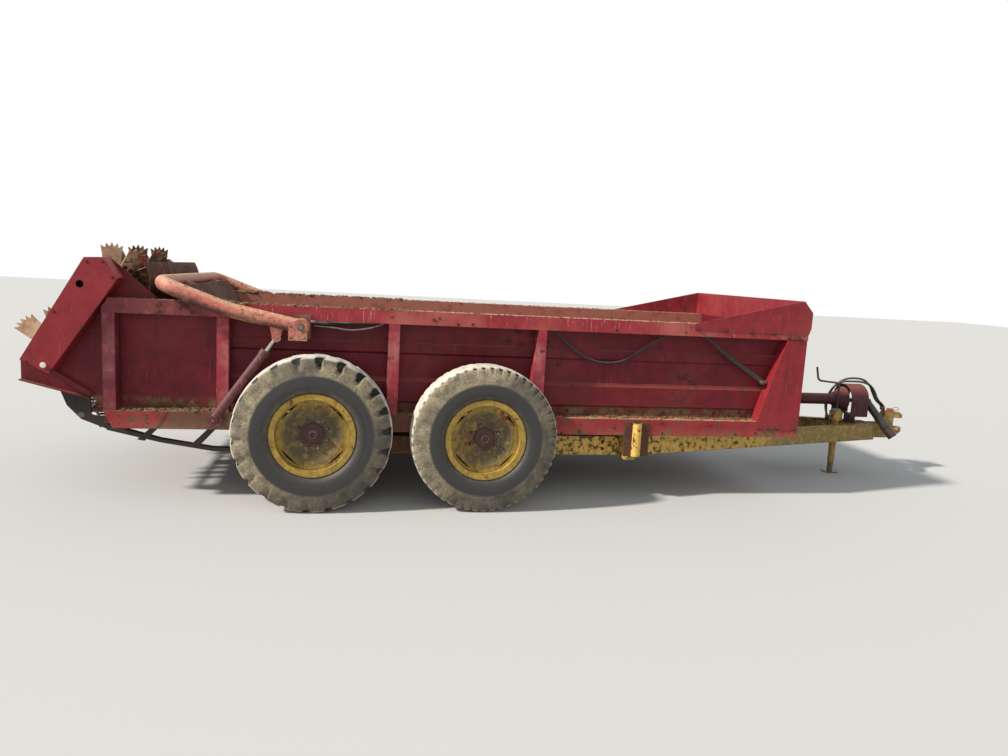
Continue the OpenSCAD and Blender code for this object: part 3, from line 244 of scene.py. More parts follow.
# enamel on steel, by shade: satin, soft highlights, no metal seen until it chips
filmShades = {
    "sillEnamel": {
        "base": "#8E222B", "alt": "#7E1C25", "fade": "#B9664E", "topFade": 1.0, "rustAt": 0.545,
        "rust": "#4E3428", "rustAlt": "#6E5240", "dustTop": 0.95, "dust": "#BC9670",
        "dustAlt": "#8E6C4E", "dustHeight": 0.60, "dustFoot": 0.50, "dustLow": 0.25, "bandFrom": 0.05,
        "bandTo": -0.2, "bandStop": -2.71, "bandMix": 0.95, "bandTone": "#5A4030",
    },
    # posts: the band darkens the rearmost post with painted shade, partly darker paint
    "postEnamel": {
        "base": "#96303A", "alt": "#84262E", "fade": "#C08078", "patchFade": 0.5, "patchMm": 200,
        "scratch": 1.0, "scratchTone": "#CFA098", "bandFrom": -2.6, "bandTo": -2.7, "bandMix": 0.75,
        "bandTone": "#4A161F",
    },
    # box walls: the sills' red darkened with painted shade from the rails; inward faces take painted light
    "wallEnamelShaded": {
        "base": "#6A141E", "alt": "#590F19", "fade": "#B0705E", "topFade": 0.3, "patchFade": 0.05,
        "inside": 0.85, "scratch": 0.6, "scratchTone": "#8C5459", "stain": 0.5, "stainTone": "#380C14",
        "lowRust": 0.13, "dustHeight": 0.735, "dustFoot": 0.68, "dustLow": 0.85, "gloss": 0.25,
    },
    "brightEnamel": {
        "base": "#8A2129", "alt": "#7A1B22", "fade": "#B04A46", "patchFade": 0.12, "rustAt": 0.625,
        "scratch": 0.35,
    },
    "extensionEnamel": {
        "base": "#88242B", "alt": "#761B23", "fade": "#C07460", "topFade": 0.8, "patchFade": 0.12,
    },
    # rails: painted shade darkens the rear end, partly darker paint; inward faces take painted light
    "railEnamel": {
        "base": "#9C2F36", "alt": "#87252D", "fade": "#C88A74", "topFade": 0.95, "patchFade": 0.3,
        "inside": 0.9, "scratch": 1.0, "scratchTone": "#D2A090", "rustAt": 0.59, "dustTop": 0.9,
        "dust": "#A98466", "bandFrom": -2.38, "bandTo": -2.5, "bandMix": 0.8, "bandTone": "#4E1A23",
    },
    # gate tube: its underside darkened with painted shade
    "gateEnamel": {
        "base": "#BC6F60", "alt": "#A4554C", "fade": "#CF9F80", "topFade": 0.95, "patchFade": 0.4,
        "patchMm": 260, "scratch": 0.3, "stain": 0.6, "stainTone": "#50302A", "under": 1.0,
        "rustAt": 0.565, "rust": "#5A3228", "rustAlt": "#8A5242", "dust": "#B08E6E", "dustTop": 0.7,
        "chipMm": 26, "rustMix": 0.75,
    },
    "bracketEnamel": {
        "base": "#7A4440", "alt": "#6A3A36", "fade": "#94786C", "patchFade": 0.6, "patchMm": 160,
        "rustAt": 0.57, "chipMm": 40, "dustTop": 0.8,
    },
    "mauveEnamel": {
        "base": "#5E3436", "alt": "#4C282A", "fade": "#8A6A66", "patchFade": 0.3, "rustAt": 0.58,
        "chipMm": 50,
    },
    "yellowEnamel": {
        "base": "#DDB356", "alt": "#C89E48", "fade": "#D8BA70", "topFade": 0.3, "stainTone": "#6B4A20",
        "scratchTone": "#DCC68C", "rustAt": 0.548, "rust": "#24140E", "rustAlt": "#4E2C1C",
        "chipMm": 40, "edge": 1.2, "dust": "#93805C", "dustAlt": "#6E5C42", "bandFrom": 2.0,
        "bandTo": 2.3, "bandMix": 0.75, "bandTone": "#66583A",
    },
    "jackEnamel": {
        "base": "#B08A3E", "alt": "#96763A", "fade": "#B89C60", "stain": 0.6, "stainTone": "#4A3A22",
        "rustAt": 0.55, "chipMm": 36, "upperAt": 0.606, "upperTone": "#2A2422", "edge": 1.1,
    },
    "hubEnamel": {
        "base": "#4A2C30", "alt": "#3C2428", "fade": "#5E4440", "scratch": 0.1, "dust": "#5E4E40",
    },
    # dried muck over worn red film on the paddles: cream and chalky, the film showing in patches; paddles in
    # from the near side darkened with painted shade
    "muckedPaddles": {
        "base": "#CDB08A", "alt": "#B58E74", "fade": "#E0CBA2", "topFade": 0.4, "patchFade": 0.9,
        "bandAxis": "Y", "bandFrom": -0.58, "bandTo": -0.5, "bandMix": 0.85, "bandTone": "#3A2A20",
        "patchMm": 190, "stain": 0.5, "stainTone": "#4E3426", "scratch": 0.2, "scratchTone": "#E2D2B0",
        "rustAt": 0.575, "rust": "#A8423E", "rustAlt": "#8A3432", "dust": "#6E5238",
        "dustAlt": "#4E3826", "chipMm": 60, "dustTop": 0.4, "rough": 0.8, "bump": 0.6,
    },
    # black enamel and oily castings: low sheen, dust clings
    "blackEnamel": {
        "base": "#2A2322", "alt": "#1C1817", "fade": "#4A3E38", "scratch": 0.15,
        "scratchTone": "#6A6058", "dust": "#6E5C4A", "rough": 0.55, "stainTone": "#161210",
    },
    "maroonEnamel": {
        "base": "#3E1419", "alt": "#2C0E12", "fade": "#7E403A", "topFade": 0.5, "rustAt": 0.58,
        "dust": "#6E4A40",
    },
    # moulded guard, black and slightly shiny under a little dust
    "guardPlastic": {
        "base": "#191616", "alt": "#141111", "fade": "#3A3330", "topFade": 0.3, "scratch": 0.1,
        "scratchTone": "#5A524C", "rustAt": 2.0, "edge": 0.0, "dustTop": 0.25, "rough": 0.4,
        "gloss": 0.5,
    },
    "greyCasting": {
        "base": "#7E8478", "alt": "#6A7066", "fade": "#969A8C", "scratch": 0.1,
        "scratchTone": "#A6A89C", "dust": "#867A66", "rough": 0.6, "stainTone": "#3E3A34",
    },
    "orangeEnamel": {
        "base": "#C4622E", "alt": "#A85026", "fade": "#D28A5C", "scratchTone": "#DDB08C",
        "dust": "#8E7458",
    },
    # mill steel that has lost its paint: brown oxide, coarse and quite dull
    "rustedSteel": {
        "base": "#553726", "alt": "#3C281E", "fade": "#785640", "scratch": 0.0, "rustAt": 0.5,
        "dust": "#86694C", "dustAlt": "#5E4632", "rough": 0.82, "grain": 0.3, "bump": 0.6,
        "dustTop": 0.8, "patchFade": 0.5, "stain": 0.1,
    },
    # worn steel with its skin rubbed off by use: grey, broken reflections, rust between
    "wornSteel": {
        "base": "#7A736B", "alt": "#5E564F", "fade": "#8C857C", "scratch": 0.3,
        "scratchTone": "#B0AAA0", "metal": 0.8, "rough": 0.42, "rustAt": 0.57, "dustTop": 0.2,
    },
    # fastener left out for years: brown-black oxide with a little film left on its corners
    "rustedFastener": {
        "base": "#4A2A26", "alt": "#35211D", "fade": "#6A3A34", "patchMm": 300, "scratch": 0.0,
        "edge": 0.0, "rough": 0.75,
    },
    # hard chrome on the rod: a clear mirror with few marks
    "hardChrome": {
        "base": "#B4B0AA", "alt": "#A29E98", "fade": "#BEBAB4", "topFade": 0.1, "patchFade": 0.1,
        "scratch": 0.1, "scratchTone": "#D0CCC6", "metal": 1.0, "rough": 0.16, "rustAt": 0.66,
        "edge": 0.0, "dustTop": 0.1, "bump": 0.05, "stain": 0.1,
    },
    # hose cover: black rubber gone grey with dust on its back
    "hoseRubber": {
        "base": "#2A2727", "alt": "#343030", "fade": "#6A625C", "topFade": 0.8, "scratch": 0.1,
        "scratchTone": "#4E463E", "rustAt": 2.0, "edge": 0.0, "dust": "#8A7A68", "rough": 0.5,
        "bump": 0.2, "stainTone": "#100E0D",
    },
    # dried muck: matt, lumpy brown
    "driedMuck": {
        "base": "#5A4230", "alt": "#3E2C20", "fade": "#80664A", "scratch": 0.0, "rustAt": 2.0,
        "edge": 0.0, "dust": "#866E50", "rough": 0.95, "grain": 0.6, "bump": 0.9, "chipMm": 22,
        "patchMm": 60,
    },
}
# the rims wear the same enamel, with painted shade in the recessed disc round the hub
rimEnamel = {
    "base": "#A88A3A", "alt": "#907534", "fade": "#BC9A4A", "topFade": 0.1, "patchMm": 210, "stain": 0.5,
    "stainTone": "#3B372C", "scratch": 0.15, "scratchTone": "#B8A46C", "rustAt": 0.565, "rust": "#55301A",
    "rustAlt": "#8A5630", "edge": 1.6, "dust": "#6F6144", "dustAlt": "#57492F", "chipMm": 40,
    "dustHeight": 0.95, "dustLow": 0.3, "shadeRadius": 0.235, "paintedShade": 0.9,
}
mats = {key: weathered(key, {**filmDefaults, **value}) for key, value in filmShades.items()}
print("materials", len(mats))

cadLooks = {
    "frame_beams": "yellowEnamel", "cross_members": "rustedSteel", "hitch_clevis": "yellowEnamel",
    "sills": "sillEnamel", "side_wall_right": "wallEnamelShaded", "side_wall_left": "wallEnamelShaded",
    "posts": "postEnamel",
    "rail_right": "railEnamel", "rail_left": "railEnamel", "front_wall": "wallEnamelShaded",
    "front_extension": "extensionEnamel", "side_extensions": "extensionEnamel",
    "corner_gussets": "brightEnamel",
    "floor": "rustedSteel", "apron_shafts": "wornSteel", "rear_struts": "blackEnamel",
    "rear_side_right": "wallEnamelShaded", "rear_side_left": "wallEnamelShaded", "chain_cover": "brightEnamel",
    "side_drive": "blackEnamel", "lower_beater": "muckedPaddles", "upper_beater": "muckedPaddles",
    "beater_bearings": "blackEnamel", "beater_hood": "rustedSteel", "gate_panel": "rustedSteel",
    "gate_brackets": "bracketEnamel", "cylinder_barrel_right": "mauveEnamel",
    "cylinder_barrel_left": "mauveEnamel",
    "cylinder_rod_right": "hardChrome", "cylinder_rod_left": "hardChrome", "bogie": "rustedSteel",
    "jack_body": "jackEnamel", "jack_leg": "wornSteel", "driveline": "maroonEnamel",
    "pto_shield": "maroonEnamel", "pto_shaft": "guardPlastic",
}
for end in ("front", "rear"):
    hub = tuple(boxCenter(f"rim_{end}_right") * Vector((1, 0, 1)))
    mats[f"rimEnamel_{end}"] = weathered(f"rimEnamel_{end}", {**filmDefaults, **rimEnamel, "hub": hub})
    cadLooks.update({f"rim_{end}_{side}": f"rimEnamel_{end}" for side in ("right", "left")})
for name, look in cadLooks.items():
    nodes[name].data.materials.clear()
    nodes[name].data.materials.append(mats[look])


def unit(v):
    # v/|v|
    return v / np.linalg.norm(v, axis=-1, keepdims=True)


def newPiece(name, shape, look, body, angle=35):
    # grids share their seams and poles after the merge, and faces are turned outward
    verts, faces = shape
    mesh = bpy.data.meshes.new(name)
    mesh.from_pydata(np.asarray(verts).reshape(-1, 3).tolist(), [], np.asarray(faces).tolist())
    work = bmesh.new()
    work.from_mesh(mesh)
    bmesh.ops.remove_doubles(work, verts=work.verts, dist=1e-6)
    bmesh.ops.dissolve_degenerate(work, edges=work.edges, dist=1e-7)
    bmesh.ops.recalc_face_normals(work, faces=work.faces)
    work.to_mesh(mesh)
    work.free()
    mesh.polygons.foreach_set("use_smooth", np.ones(len(mesh.polygons), bool))
    mesh.set_sharp_from_angle(angle=math.radians(angle))
    mesh.materials.append(mats[look])
    obj = bpy.data.objects.new(name, mesh)
    bpy.context.scene.collection.objects.link(obj)
    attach(obj, body)
    return obj


def gridFaces(rows, cols, closeRows=False, closeCols=False):
    # quads of a rows by cols grid of points, the last row or column joined to the first on request
    along = np.arange(rows if closeRows else rows - 1)
    around = np.arange(cols if closeCols else cols - 1)
    a, b = np.meshgrid(along, around, indexing="ij")
    a2, b2 = (a + 1) % rows, (b + 1) % cols
    return np.stack([a * cols + b, a2 * cols + b, a2 * cols + b2, a * cols + b2], -1).reshape(-1, 4)


def joined(shapes):
    # several shapes as one: the faces of each count on from the points before it
    starts = np.cumsum([0] + [len(verts) for verts, _ in shapes])
    faces = np.concatenate([f + start for (_, f), start in zip(shapes, starts)])
    return np.concatenate([verts for verts, _ in shapes]), faces


def tube(path, radius, sides=12, lean=(0.13, 0.2, 1.0)):
    # p = path + r*(cos a * s + sin a * t), with s and t square to the path; r falls to 0 at both ends
    path = np.asarray(path, float)
    ahead = unit(np.gradient(path, axis=0))
    s = unit(np.cross(ahead, lean))
    t = np.cross(ahead, s)
    r = np.concatenate([[0], np.broadcast_to(radius, len(path)), [0]])[:, None, None]
    rows = np.concatenate([[0], np.arange(len(path)), [len(path) - 1]])
    a = np.linspace(0, 2 * np.pi, sides, endpoint=False)[None, :, None]
    verts = path[rows, None] + r * (np.cos(a) * s[rows, None] + np.sin(a) * t[rows, None])
    return verts.reshape(-1, 3), gridFaces(len(rows), sides, False, True)


def lathe(profile, center, axis, sides=24):
    # p = center + h*axis + r*(cos a * u + sin a * v) for each (r, h) of the profile
    profile = np.asarray(profile, float)
    w = unit(np.asarray(axis, float))
    u = unit(np.cross((0, 0, 1) if abs(w[2]) < 0.9 else (1, 0, 0), w))
    v = np.cross(w, u)
    a = np.linspace(0, 2 * np.pi, sides, endpoint=False)[None, :, None]
    r, h = profile[:, 0][:, None, None], profile[:, 1][:, None, None]
    verts = np.asarray(center, float) + h * w + r * (np.cos(a) * u + np.sin(a) * v)
    return verts.reshape(-1, 3), gridFaces(len(profile), sides, False, True)


def copies(shape, places, axes):
    # one shape set at many places with its z along the axes: p = place + x*u + y*v + z*w
    verts, faces = shape
    places = np.asarray(places, float)
    w = unit(np.broadcast_to(np.asarray(axes, float), places.shape))
    u = unit(np.cross(np.where(np.abs(w[:, 2:]) < 0.9, (0.0, 0.0, 1.0), (1.0, 0.0, 0.0)), w))
    v = np.cross(w, u)
    moved = places[:, None] + verts[None, :, :1] * u[:, None] + verts[None, :, 1:2] * v[:, None]
    moved = moved + verts[None, :, 2:] * w[:, None]
    shift = (np.arange(len(places)) * len(verts))[:, None, None]
    return moved.reshape(-1, 3), (faces[None] + shift).reshape(-1, 4)


def plate(outline, yIn, yOut, edge=0.0015):
    # flat outline in X and Z between two Y planes: rows centre, drawn-in rim, rim, rim, drawn-in rim, centre
    ring = at([(x, 0, z) for x, z in outline])
    middle = ring.mean(axis=0)
    inset = middle + (ring - middle) * (1 - edge / np.linalg.norm(ring - middle, axis=1, keepdims=True))
    hub = middle + 0 * ring
    rows = [(hub, yIn), (inset, yIn), (ring, yIn + edge), (ring, yOut - edge), (inset, yOut), (hub, yOut)]
    verts = np.array([np.stack([r[:, 0], np.full(len(ring), y), r[:, 2]], -1) for r, y in rows])
    return verts.reshape(-1, 3), gridFaces(len(rows), len(ring), False, True)


def curved(points, count):
    # Catmull-Rom through the points: 0.5*(2b + (c-a)t + (2a-5b+4c-d)t^2 + (3b-3c+d-a)t^3)
    p = np.asarray(points, float)
    p = np.vstack([2 * p[0] - p[1], p, 2 * p[-1] - p[-2]])
    u = np.linspace(0, len(p) - 3 - 1e-9, count)
    i = u.astype(int)
    t = (u - i)[:, None]
    a, b, c, d = p[i], p[i + 1], p[i + 2], p[i + 3]
    lower = 2 * b + (c - a) * t + (2 * a - 5 * b + 4 * c - d) * t ** 2
    return 0.5 * (lower + (3 * b - 3 * c + d - a) * t ** 3)


def bentPath(points, bends, step=9):
    # straight runs joined by arcs of the given radii: p = centre + r*(sin t * along - cos t * mid)
    p = np.asarray(points, float)
    out = [p[:1]]
    for i in range(1, len(p) - 1):
        back, ahead = unit(p[i - 1] - p[i]), unit(p[i + 1] - p[i])
        half = math.acos(float(np.clip(-back @ ahead, -1, 1))) / 2
        turn = np.linspace(-half, half, step)[:, None]
        mid = unit(back + ahead)
        along = unit(ahead - back)
        centre = p[i] + mid * bends[i - 1] / math.cos(half)
        out.append(centre + bends[i - 1] * (np.sin(turn) * along - np.cos(turn) * mid))
    out.append(p[-1:])
    return np.concatenate(out)


def turned(profile, sides):
    # a lathe shape about Z at the origin, for copies to set in place
    return lathe(profile, (0, 0, 0), (0, 0, 1), sides)


def boltShape(radius, height):
    # hexagon head with its top edge broken
    return turned([(0, 0), (radius, 0), (radius, height * 0.8), (radius * 0.84, height), (0, height)], 6)


def washerAndBolt(radius, height):
    # the head on a round washer half as wide again and 2.5 mm thick
    return joined([
        turned([(0, 0), (radius * 1.5, 0), (radius * 1.5, 0.0025), (0, 0.0025)], 18),
        boltShape(radius, height),
    ])


def bothSides(shape):
    # the shape and its mirror image across the middle, with the image's faces turned back outward
    verts, faces = shape
    return joined([shape, (verts * (1, -1, 1), faces[:, ::-1])])


# tyres: a section carried round the wheel, with tread and shoulder notches cut into it
tyreWidth = 0.290
wallSetIn = 0.0012  # the walls stand this far in, so that what is moulded on them stays inside the width
tyreSettings = {
    "front": {
        "radius": frontRadius, "pitches": 52, "gap": 0.30, "depth": 0.013, "reach": 0.905, "shoulder": 0.62,
        "grooves": (-0.42, 0.0, 0.42), "grooveDepth": 0.010, "zigzag": 0.035, "twice": 2, "lean": 0.0,
        "steps": [0, 0.05, 0.2, 0.45, 0.62, 0.69, 0.74, 0.92, 0.97], "ringAt": 0.80,
    },
    "rear": {
        "radius": rearRadius, "pitches": 22, "gap": 0.36, "depth": 0.026, "reach": 0.845, "shoulder": 0.30,
        "grooves": (0.0,), "grooveDepth": 0.012, "zigzag": 0.06, "twice": 1, "lean": 0.35,
        "steps": [0, 0.03, 0.08, 0.15, 0.24, 0.34, 0.44, 0.54, 0.58, 0.61, 0.64, 0.70, 0.82, 0.94, 0.97],
        "ringAt": 0.765,
    },
}


def smoothStep(low, high, x):
    # t*t*(3 - 2t), with t = (x - low)/(high - low) held between 0 and 1
    t = np.clip((x - low) / (high - low), 0, 1)
    return t * t * (3 - 2 * t)


def tyreSection(radius):
    # (r, y) from one bead over the wall, shoulder and crown to the middle, then mirrored to the other bead
    h = tyreWidth / 2 - wallSetIn
    half = [
        (0.2575, h - 0.034), (0.272, h - 0.031), (0.2905, h - 0.0305), (0.2985, h - 0.021),
        (0.306, h - 0.0145), (0.312, h - 0.0105), (0.320, h - 0.0065), (0.33, h - 0.004), (0.342, h - 0.0018),
        (0.352, h - 0.0008), (0.364, h), (0.376, h), (0.388, h), (0.40, h - 0.0005), (0.412, h - 0.001),
        (0.425, h - 0.002), (radius - 0.104, h - 0.003), (radius - 0.092, h - 0.004),
        (radius - 0.078, h - 0.0055), (radius - 0.062, h - 0.0072), (radius - 0.047, h - 0.0095),
        (radius - 0.033, h - 0.0125), (radius - 0.021, h - 0.0165),
        (radius - 0.0125, h - 0.0215), (radius - 0.0075, h - 0.027), (radius - 0.0048, h - 0.034),
        (radius - 0.0036, h - 0.043), (radius - 0.0028, h - 0.054), (radius - 0.0019, h - 0.068),
        (radius - 0.0012, h - 0.082), (radius - 0.0006, h - 0.096), (radius - 0.0002, h - 0.11),
        (radius, h - 0.122), (radius, h - 0.131), (radius, h - 0.138),
    ]
    half = np.array(half)
    return np.vstack([half, [(radius, 0.0)], half[::-1] * (1, -1)])


def buildTyre(end, sign, center, body, node):
    # p(a, s) = centre + (R sin a, Y, R cos a), where (R, Y) is the section less the cut along its own normal
    s = tyreSettings[end]
    radius = s["radius"]
    section = tyreSection(radius)
    phase = (np.arange(s["pitches"])[:, None] + np.array(s["steps"])).ravel()
    turn = phase / s["pitches"] * 2 * math.pi
    a, r = np.meshgrid(turn, section[:, 0], indexing="ij")
    p, y = np.meshgrid(phase, section[:, 1], indexing="ij")
    lateral = y / (tyreWidth / 2)
    # the two sides' notches are half a pitch apart, and the rear tyre's lean with the width
    local = (p + np.where(lateral > 0, 0.5, 0.0) + s["lean"] * (np.abs(lateral) - 0.6)) % 1.0
    ratio = r / radius
    taper = s["gap"] * (0.55 + 0.45 * smoothStep(s["reach"], 0.985, ratio))
    notch = smoothStep(1 - taper - 0.03, 1 - taper, local) * (1 - smoothStep(0.965, 0.995, local))
    notch = notch * smoothStep(s["reach"] - 0.02, s["reach"] + 0.03, ratio)
    notch = notch * smoothStep(s["shoulder"] - 0.06, s["shoulder"] + 0.02, np.abs(lateral))
    # dried mud half fills the notches away from the top front
    cut = s["depth"] * notch * (0.45 + 0.55 * smoothStep(0.1, 0.8, np.cos(a - 0.9)))
    wander = s["zigzag"] * np.abs((p * s["twice"]) % 1.0 - 0.5) * 2 - s["zigzag"] / 2
    for groove in s["grooves"]:
        line = 1 - smoothStep(0.030, 0.052, np.abs(lateral - groove - wander))
        cut = np.maximum(cut, s["grooveDepth"] * line * (ratio > 0.985))
    wear = 0.0012 * np.sin(3 * a + 1.3) + 0.0009 * np.sin(17 * a + 5 * lateral)
    cut = cut + np.maximum(wear, 0) * (ratio > 0.9)
    # raised rings moulded into the sidewall are negative cuts
    rib = np.exp(-((ratio - s["ringAt"]) / 0.0035) ** 2) + 0.6 * np.exp(-((ratio - 0.635) / 0.004) ** 2)
    cut = cut - 0.0007 * rib * (np.abs(lateral) > 0.9) * (ratio < 0.9)
    slope = np.gradient(section, axis=0)
    inward = unit(np.stack([slope[:, 1], -slope[:, 0]], -1))
    inward = inward * (-1 if inward[len(inward) // 2, 0] > 0 else 1)
    r2 = r + cut * inward[None, :, 0]
    y2 = np.clip(y + cut * inward[None, :, 1], -tyreWidth / 2, tyreWidth / 2)
    # the load presses the foot flat, so nothing goes below the ground
    place = np.stack([r2 * np.sin(a), sign * y2, np.maximum(r2 * np.cos(a), -radius)], -1) + np.array(center)
    shape = place.reshape(-1, 3), gridFaces(len(turn), len(section), True, False)
    obj = newPiece(node.replace("tyre", "tread"), shape, "tyreRubber", body, 60)
    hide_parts(node)


# tyre colours; groove is bare rubber darkened with painted shade for the cuts
tyreLook = {
    "clean": "#1E1E1E", "worn": "#34322F", "dust": "#B5A486", "dustAlt": "#7A6F5A", "pale": "#C9C2B4",
    "groove": "#12100F", "patchMm": 70, "fadeMm": 330, "grainMm": 9, "ringMm": 7,
}


def tyreRubber(s, name, center, radius):
    # weathered black rubber: matt, tan dust on the walls, chalky pale tread blocks, painted shade in the cuts
    # and over the lower front of each wall
    mat, tree, shader = newMaterial(name)
    hue = hues(s)
    coords = addNode(tree, "TexCoord", out="Object")
    local = addNode(tree, "VectorMath", (coords, tuple(center)), operation="SUBTRACT")
    flat = addNode(tree, "VectorMath", (local, (1.0, 0.0, 1.0)), **product)
    reach = addNode(tree, "VectorMath", (flat,), "Value", operation="LENGTH")
    ratio = addNode(tree, "Math", (reach, radius), operation="DIVIDE")
    across = addNode(tree, "Math", (addNode(tree, "SeparateXYZ", (local,), "Y"),), operation="ABSOLUTE")
    noises = ((s["patchMm"], 7.0, 0.66), (s["fadeMm"], 3.0, 0.5), (s["grainMm"], 5.0, 0.7))
    mid, big, fine = [
        addNode(tree, "TexNoise", {"Vector": coords, "Scale": 1000 / mm, "Detail": fold, "Roughness": rough})
        for mm, fold, rough in noises
    ]
    tone = addNode(tree, "MapRange", (fine, 0.3, 0.7), **soft)
    outer = addNode(tree, "MapRange", (ratio, 0.745, 0.785, 0.0, 1.0), **soft)
    inner = addNode(tree, "MapRange", (ratio, 0.62, 0.56, 0.0, 0.3), **soft)
    dustAndShade = addNode(tree, "Math", (outer, inner), **larger)
    patchy = addNode(tree, "MapRange", (mid, 0.34, 0.60, 0.35, 0.95), **soft)
    dustAndShade = addNode(tree, "Math", (dustAndShade, patchy), **product)
    fade = addNode(tree, "MapRange", (big, 0.36, 0.60, 0.45, 1.0), **soft)
    dustAndShade = addNode(tree, "Math", (dustAndShade, fade), **product)
    # painted shade: less dust on the lower front of each wall, so it reads darker
    lean = addNode(tree, "VectorMath", (local, (0.75, 0.0, -0.66)), "Value", operation="DOT_PRODUCT")
    shadedLowerFront = addNode(tree, "MapRange", (lean, -0.25, 0.45, 1.0, 0.4), **soft)
    dustAndShade = addNode(tree, "Math", (dustAndShade, shadedLowerFront), **product)
    dustTone = addNode(tree, "Mix", {0: tone, 6: hue["dustAlt"], 7: hue["dust"]}, **mixed)
    tread = addNode(tree, "MapRange", (ratio, 0.965, 0.992), **soft)
    treadMask = addNode(tree, "MapRange", (mid, 0.36, 0.6, 0.6, 1.0), **soft)
    treadMask = addNode(tree, "Math", (tread, treadMask), **product)
    # painted shade in the grooves, darker than bare rubber: below the crown's surface and in from the
    # shoulders
    inTread = addNode(tree, "MapRange", (ratio, 0.990, 0.974), **soft)
    shoulder = tyreWidth / 2 - 0.026
    onCrown = addNode(tree, "MapRange", (across, shoulder, shoulder - 0.008), **soft)
    shadedGroove = addNode(tree, "Math", (inTread, onCrown), **product)
    layers = ((tone, hue["worn"]), (dustAndShade, dustTone), (treadMask, hue["pale"]), (shadedGroove, hue["groove"]))
    color = hue["clean"]
    for mask, layer in layers:
        color = addNode(tree, "Mix", {0: mask, 6: color, 7: layer}, **mixed)
    tree.links.new(color, shader.inputs["Base Color"])
    tree.links.new(addNode(tree, "MapRange", (dustAndShade, 0.0, 0.6, 0.52, 0.95)), shader.inputs["Roughness"])
    rings = addNode(tree, "Math", (ratio, 2 * math.pi * radius * 1000 / s["ringMm"]), **product)
    rings = addNode(tree, "Math", (rings,), operation="SINE")
    ringMask = addNode(tree, "MapRange", (ratio, 0.76, 0.72, 0.0, 0.1), **soft)
    relief = addNode(tree, "Math", (rings, ringMask), **product)
    for value, weight in ((mid, 0.5), (fine, 0.35)):
        relief = addNode(tree, "Math", (value, weight, relief), **scaledSum)
    bump = addNode(tree, "Bump", {"Strength": 0.55, "Distance": 0.006, "Height": relief})
    tree.links.new(bump, shader.inputs["Normal"])
    return mat


# hub cap, eight wheel nuts on a 208 mm circle, and a valve stem in each wheel
wheelTrim = {
    "nutCircle": 0.104, "nutRadius": 0.0145, "nutHeight": 0.018, "nutFace": 0.050, "studFace": 0.068,
    "capRadii": (0.073, 0.044, 0.028), "stem": {"front": (0.165, 0.135), "rear": (0.150, -0.175)},
}
# plain raised outlines on the rear walls: angles from the top in degrees, radius and half height in metres
capsules = [
    {"from": 50, "to": 118, "radius": 0.366, "half": 0.019},
    {"from": 214, "to": 262, "radius": 0.388, "half": 0.019},
]
outlineBead = 0.0016
outlineSetIn = 0.0018  # from the tyre's full width to the middle of the bead


def capsuleRing(s, center, face):
    # outer arc, half circle, inner arc, half circle, all in one plane beside the wheel
    a0, a1 = math.radians(s["from"]), math.radians(s["to"])
    arc, cap = np.linspace(a0, a1, 30), np.linspace(0, math.pi, 9)[1:-1]
    outer = np.stack([np.full(30, s["radius"] + s["half"]), arc], -1)
    inner = np.stack([np.full(30, s["radius"] - s["half"]), arc[::-1]], -1)
    far = np.stack([s["radius"] + s["half"] * np.cos(cap), a1 + s["half"] / s["radius"] * np.sin(cap)], -1)
    near = np.stack([s["radius"] - s["half"] * np.cos(cap), a0 - s["half"] / s["radius"] * np.sin(cap)], -1)
    r, a = np.concatenate([outer, far, inner, near, outer[:1]]).T
    path = np.stack([r * np.sin(a), np.full(len(r), face), r * np.cos(a)], -1) + np.array(center) * (1, 0, 1)
    return tube(path, outlineBead, 6, (0, 1, 0))


def wheelDetails(s, end, side, sign, center):
    # eight nuts at centre + (R cos a, y, R sin a); caps are turned about the axle
    out = np.array([0, sign, 0.0])
    body = f"wheel_{end}_{side}"
    turn = np.arange(8) * math.pi / 4 + math.pi / 8
    ring = np.stack([np.cos(turn), 0 * turn, np.sin(turn)], -1) * s["nutCircle"]
    nut = washerAndBolt(s["nutRadius"], s["nutHeight"])
    nuts = copies(nut, np.array(center) + out * s["nutFace"] + ring, out)
    stud = turned([(0, 0), (0.008, 0), (0.008, 0.007), (0.006, 0.009), (0, 0.009)], 12)
    studs = copies(stud, np.array(center) + out * s["studFace"] + ring, out)
    newPiece(f"wheel_nuts_{end}_{side}", joined([nuts, studs]), "wornSteel", body)
    wide, middle, small = s["capRadii"]
    cap = [
        (0, 0.040), (wide, 0.0405), (wide, 0.056), (wide - 0.006, 0.060), (middle + 0.004, 0.061),
        (middle, 0.063), (middle, 0.076), (middle - 0.004, 0.080), (small + 0.001, 0.080), (small, 0.078),
        (0, 0.078),
    ]
    newPiece(f"hub_cap_{end}_{side}", lathe(cap, center, out, 40), "hubEnamel", body, 40)
    bore = small - 0.007
    ringCap = [
        (bore, 0.077), (small, 0.077), (small, 0.084), (small - 0.002, 0.086), (bore, 0.086),
        (small - 0.008, 0.080), (bore, 0.077),
    ]
    newPiece(f"hub_ring_{end}_{side}", lathe(ringCap, center, out, 32), "wornSteel", body, 40)
    stemX, stemZ = s["stem"][end]
    stem = [(stemX * k, sign * y, stemZ * k) for k, y in ((1, 0.060), (1.02, 0.075), (1.06, 0.092))]
    stem = tube(curved(np.array(center) + stem, 8), 0.004, 8, (1, 0, 0.3))
    newPiece(f"valve_stem_{end}_{side}", stem, "wornSteel", body)


for end, x, radius in (("front", axleX, frontRadius), ("rear", rearAxleX, rearRadius)):
    for side, sign in (("right", -1), ("left", 1)):
        center = (x, sign * wheelY, radius)
        mats["tyreRubber"] = tyreRubber(tyreLook, f"tyreRubber_{end}_{side}", center, radius)
        buildTyre(end, sign, center, f"wheel_{end}_{side}", f"tyre_{end}_{side}")
        wheelDetails(wheelTrim, end, side, sign, center)
        if end == "rear":
            face = sign * (wheelY + tyreWidth / 2 - outlineSetIn)
            rings = joined([capsuleRing(c, center, face) for c in capsules])
            newPiece(f"wall_outlines_{side}", rings, "tyreRubber", f"wheel_{end}_{side}")
print("wheels built")

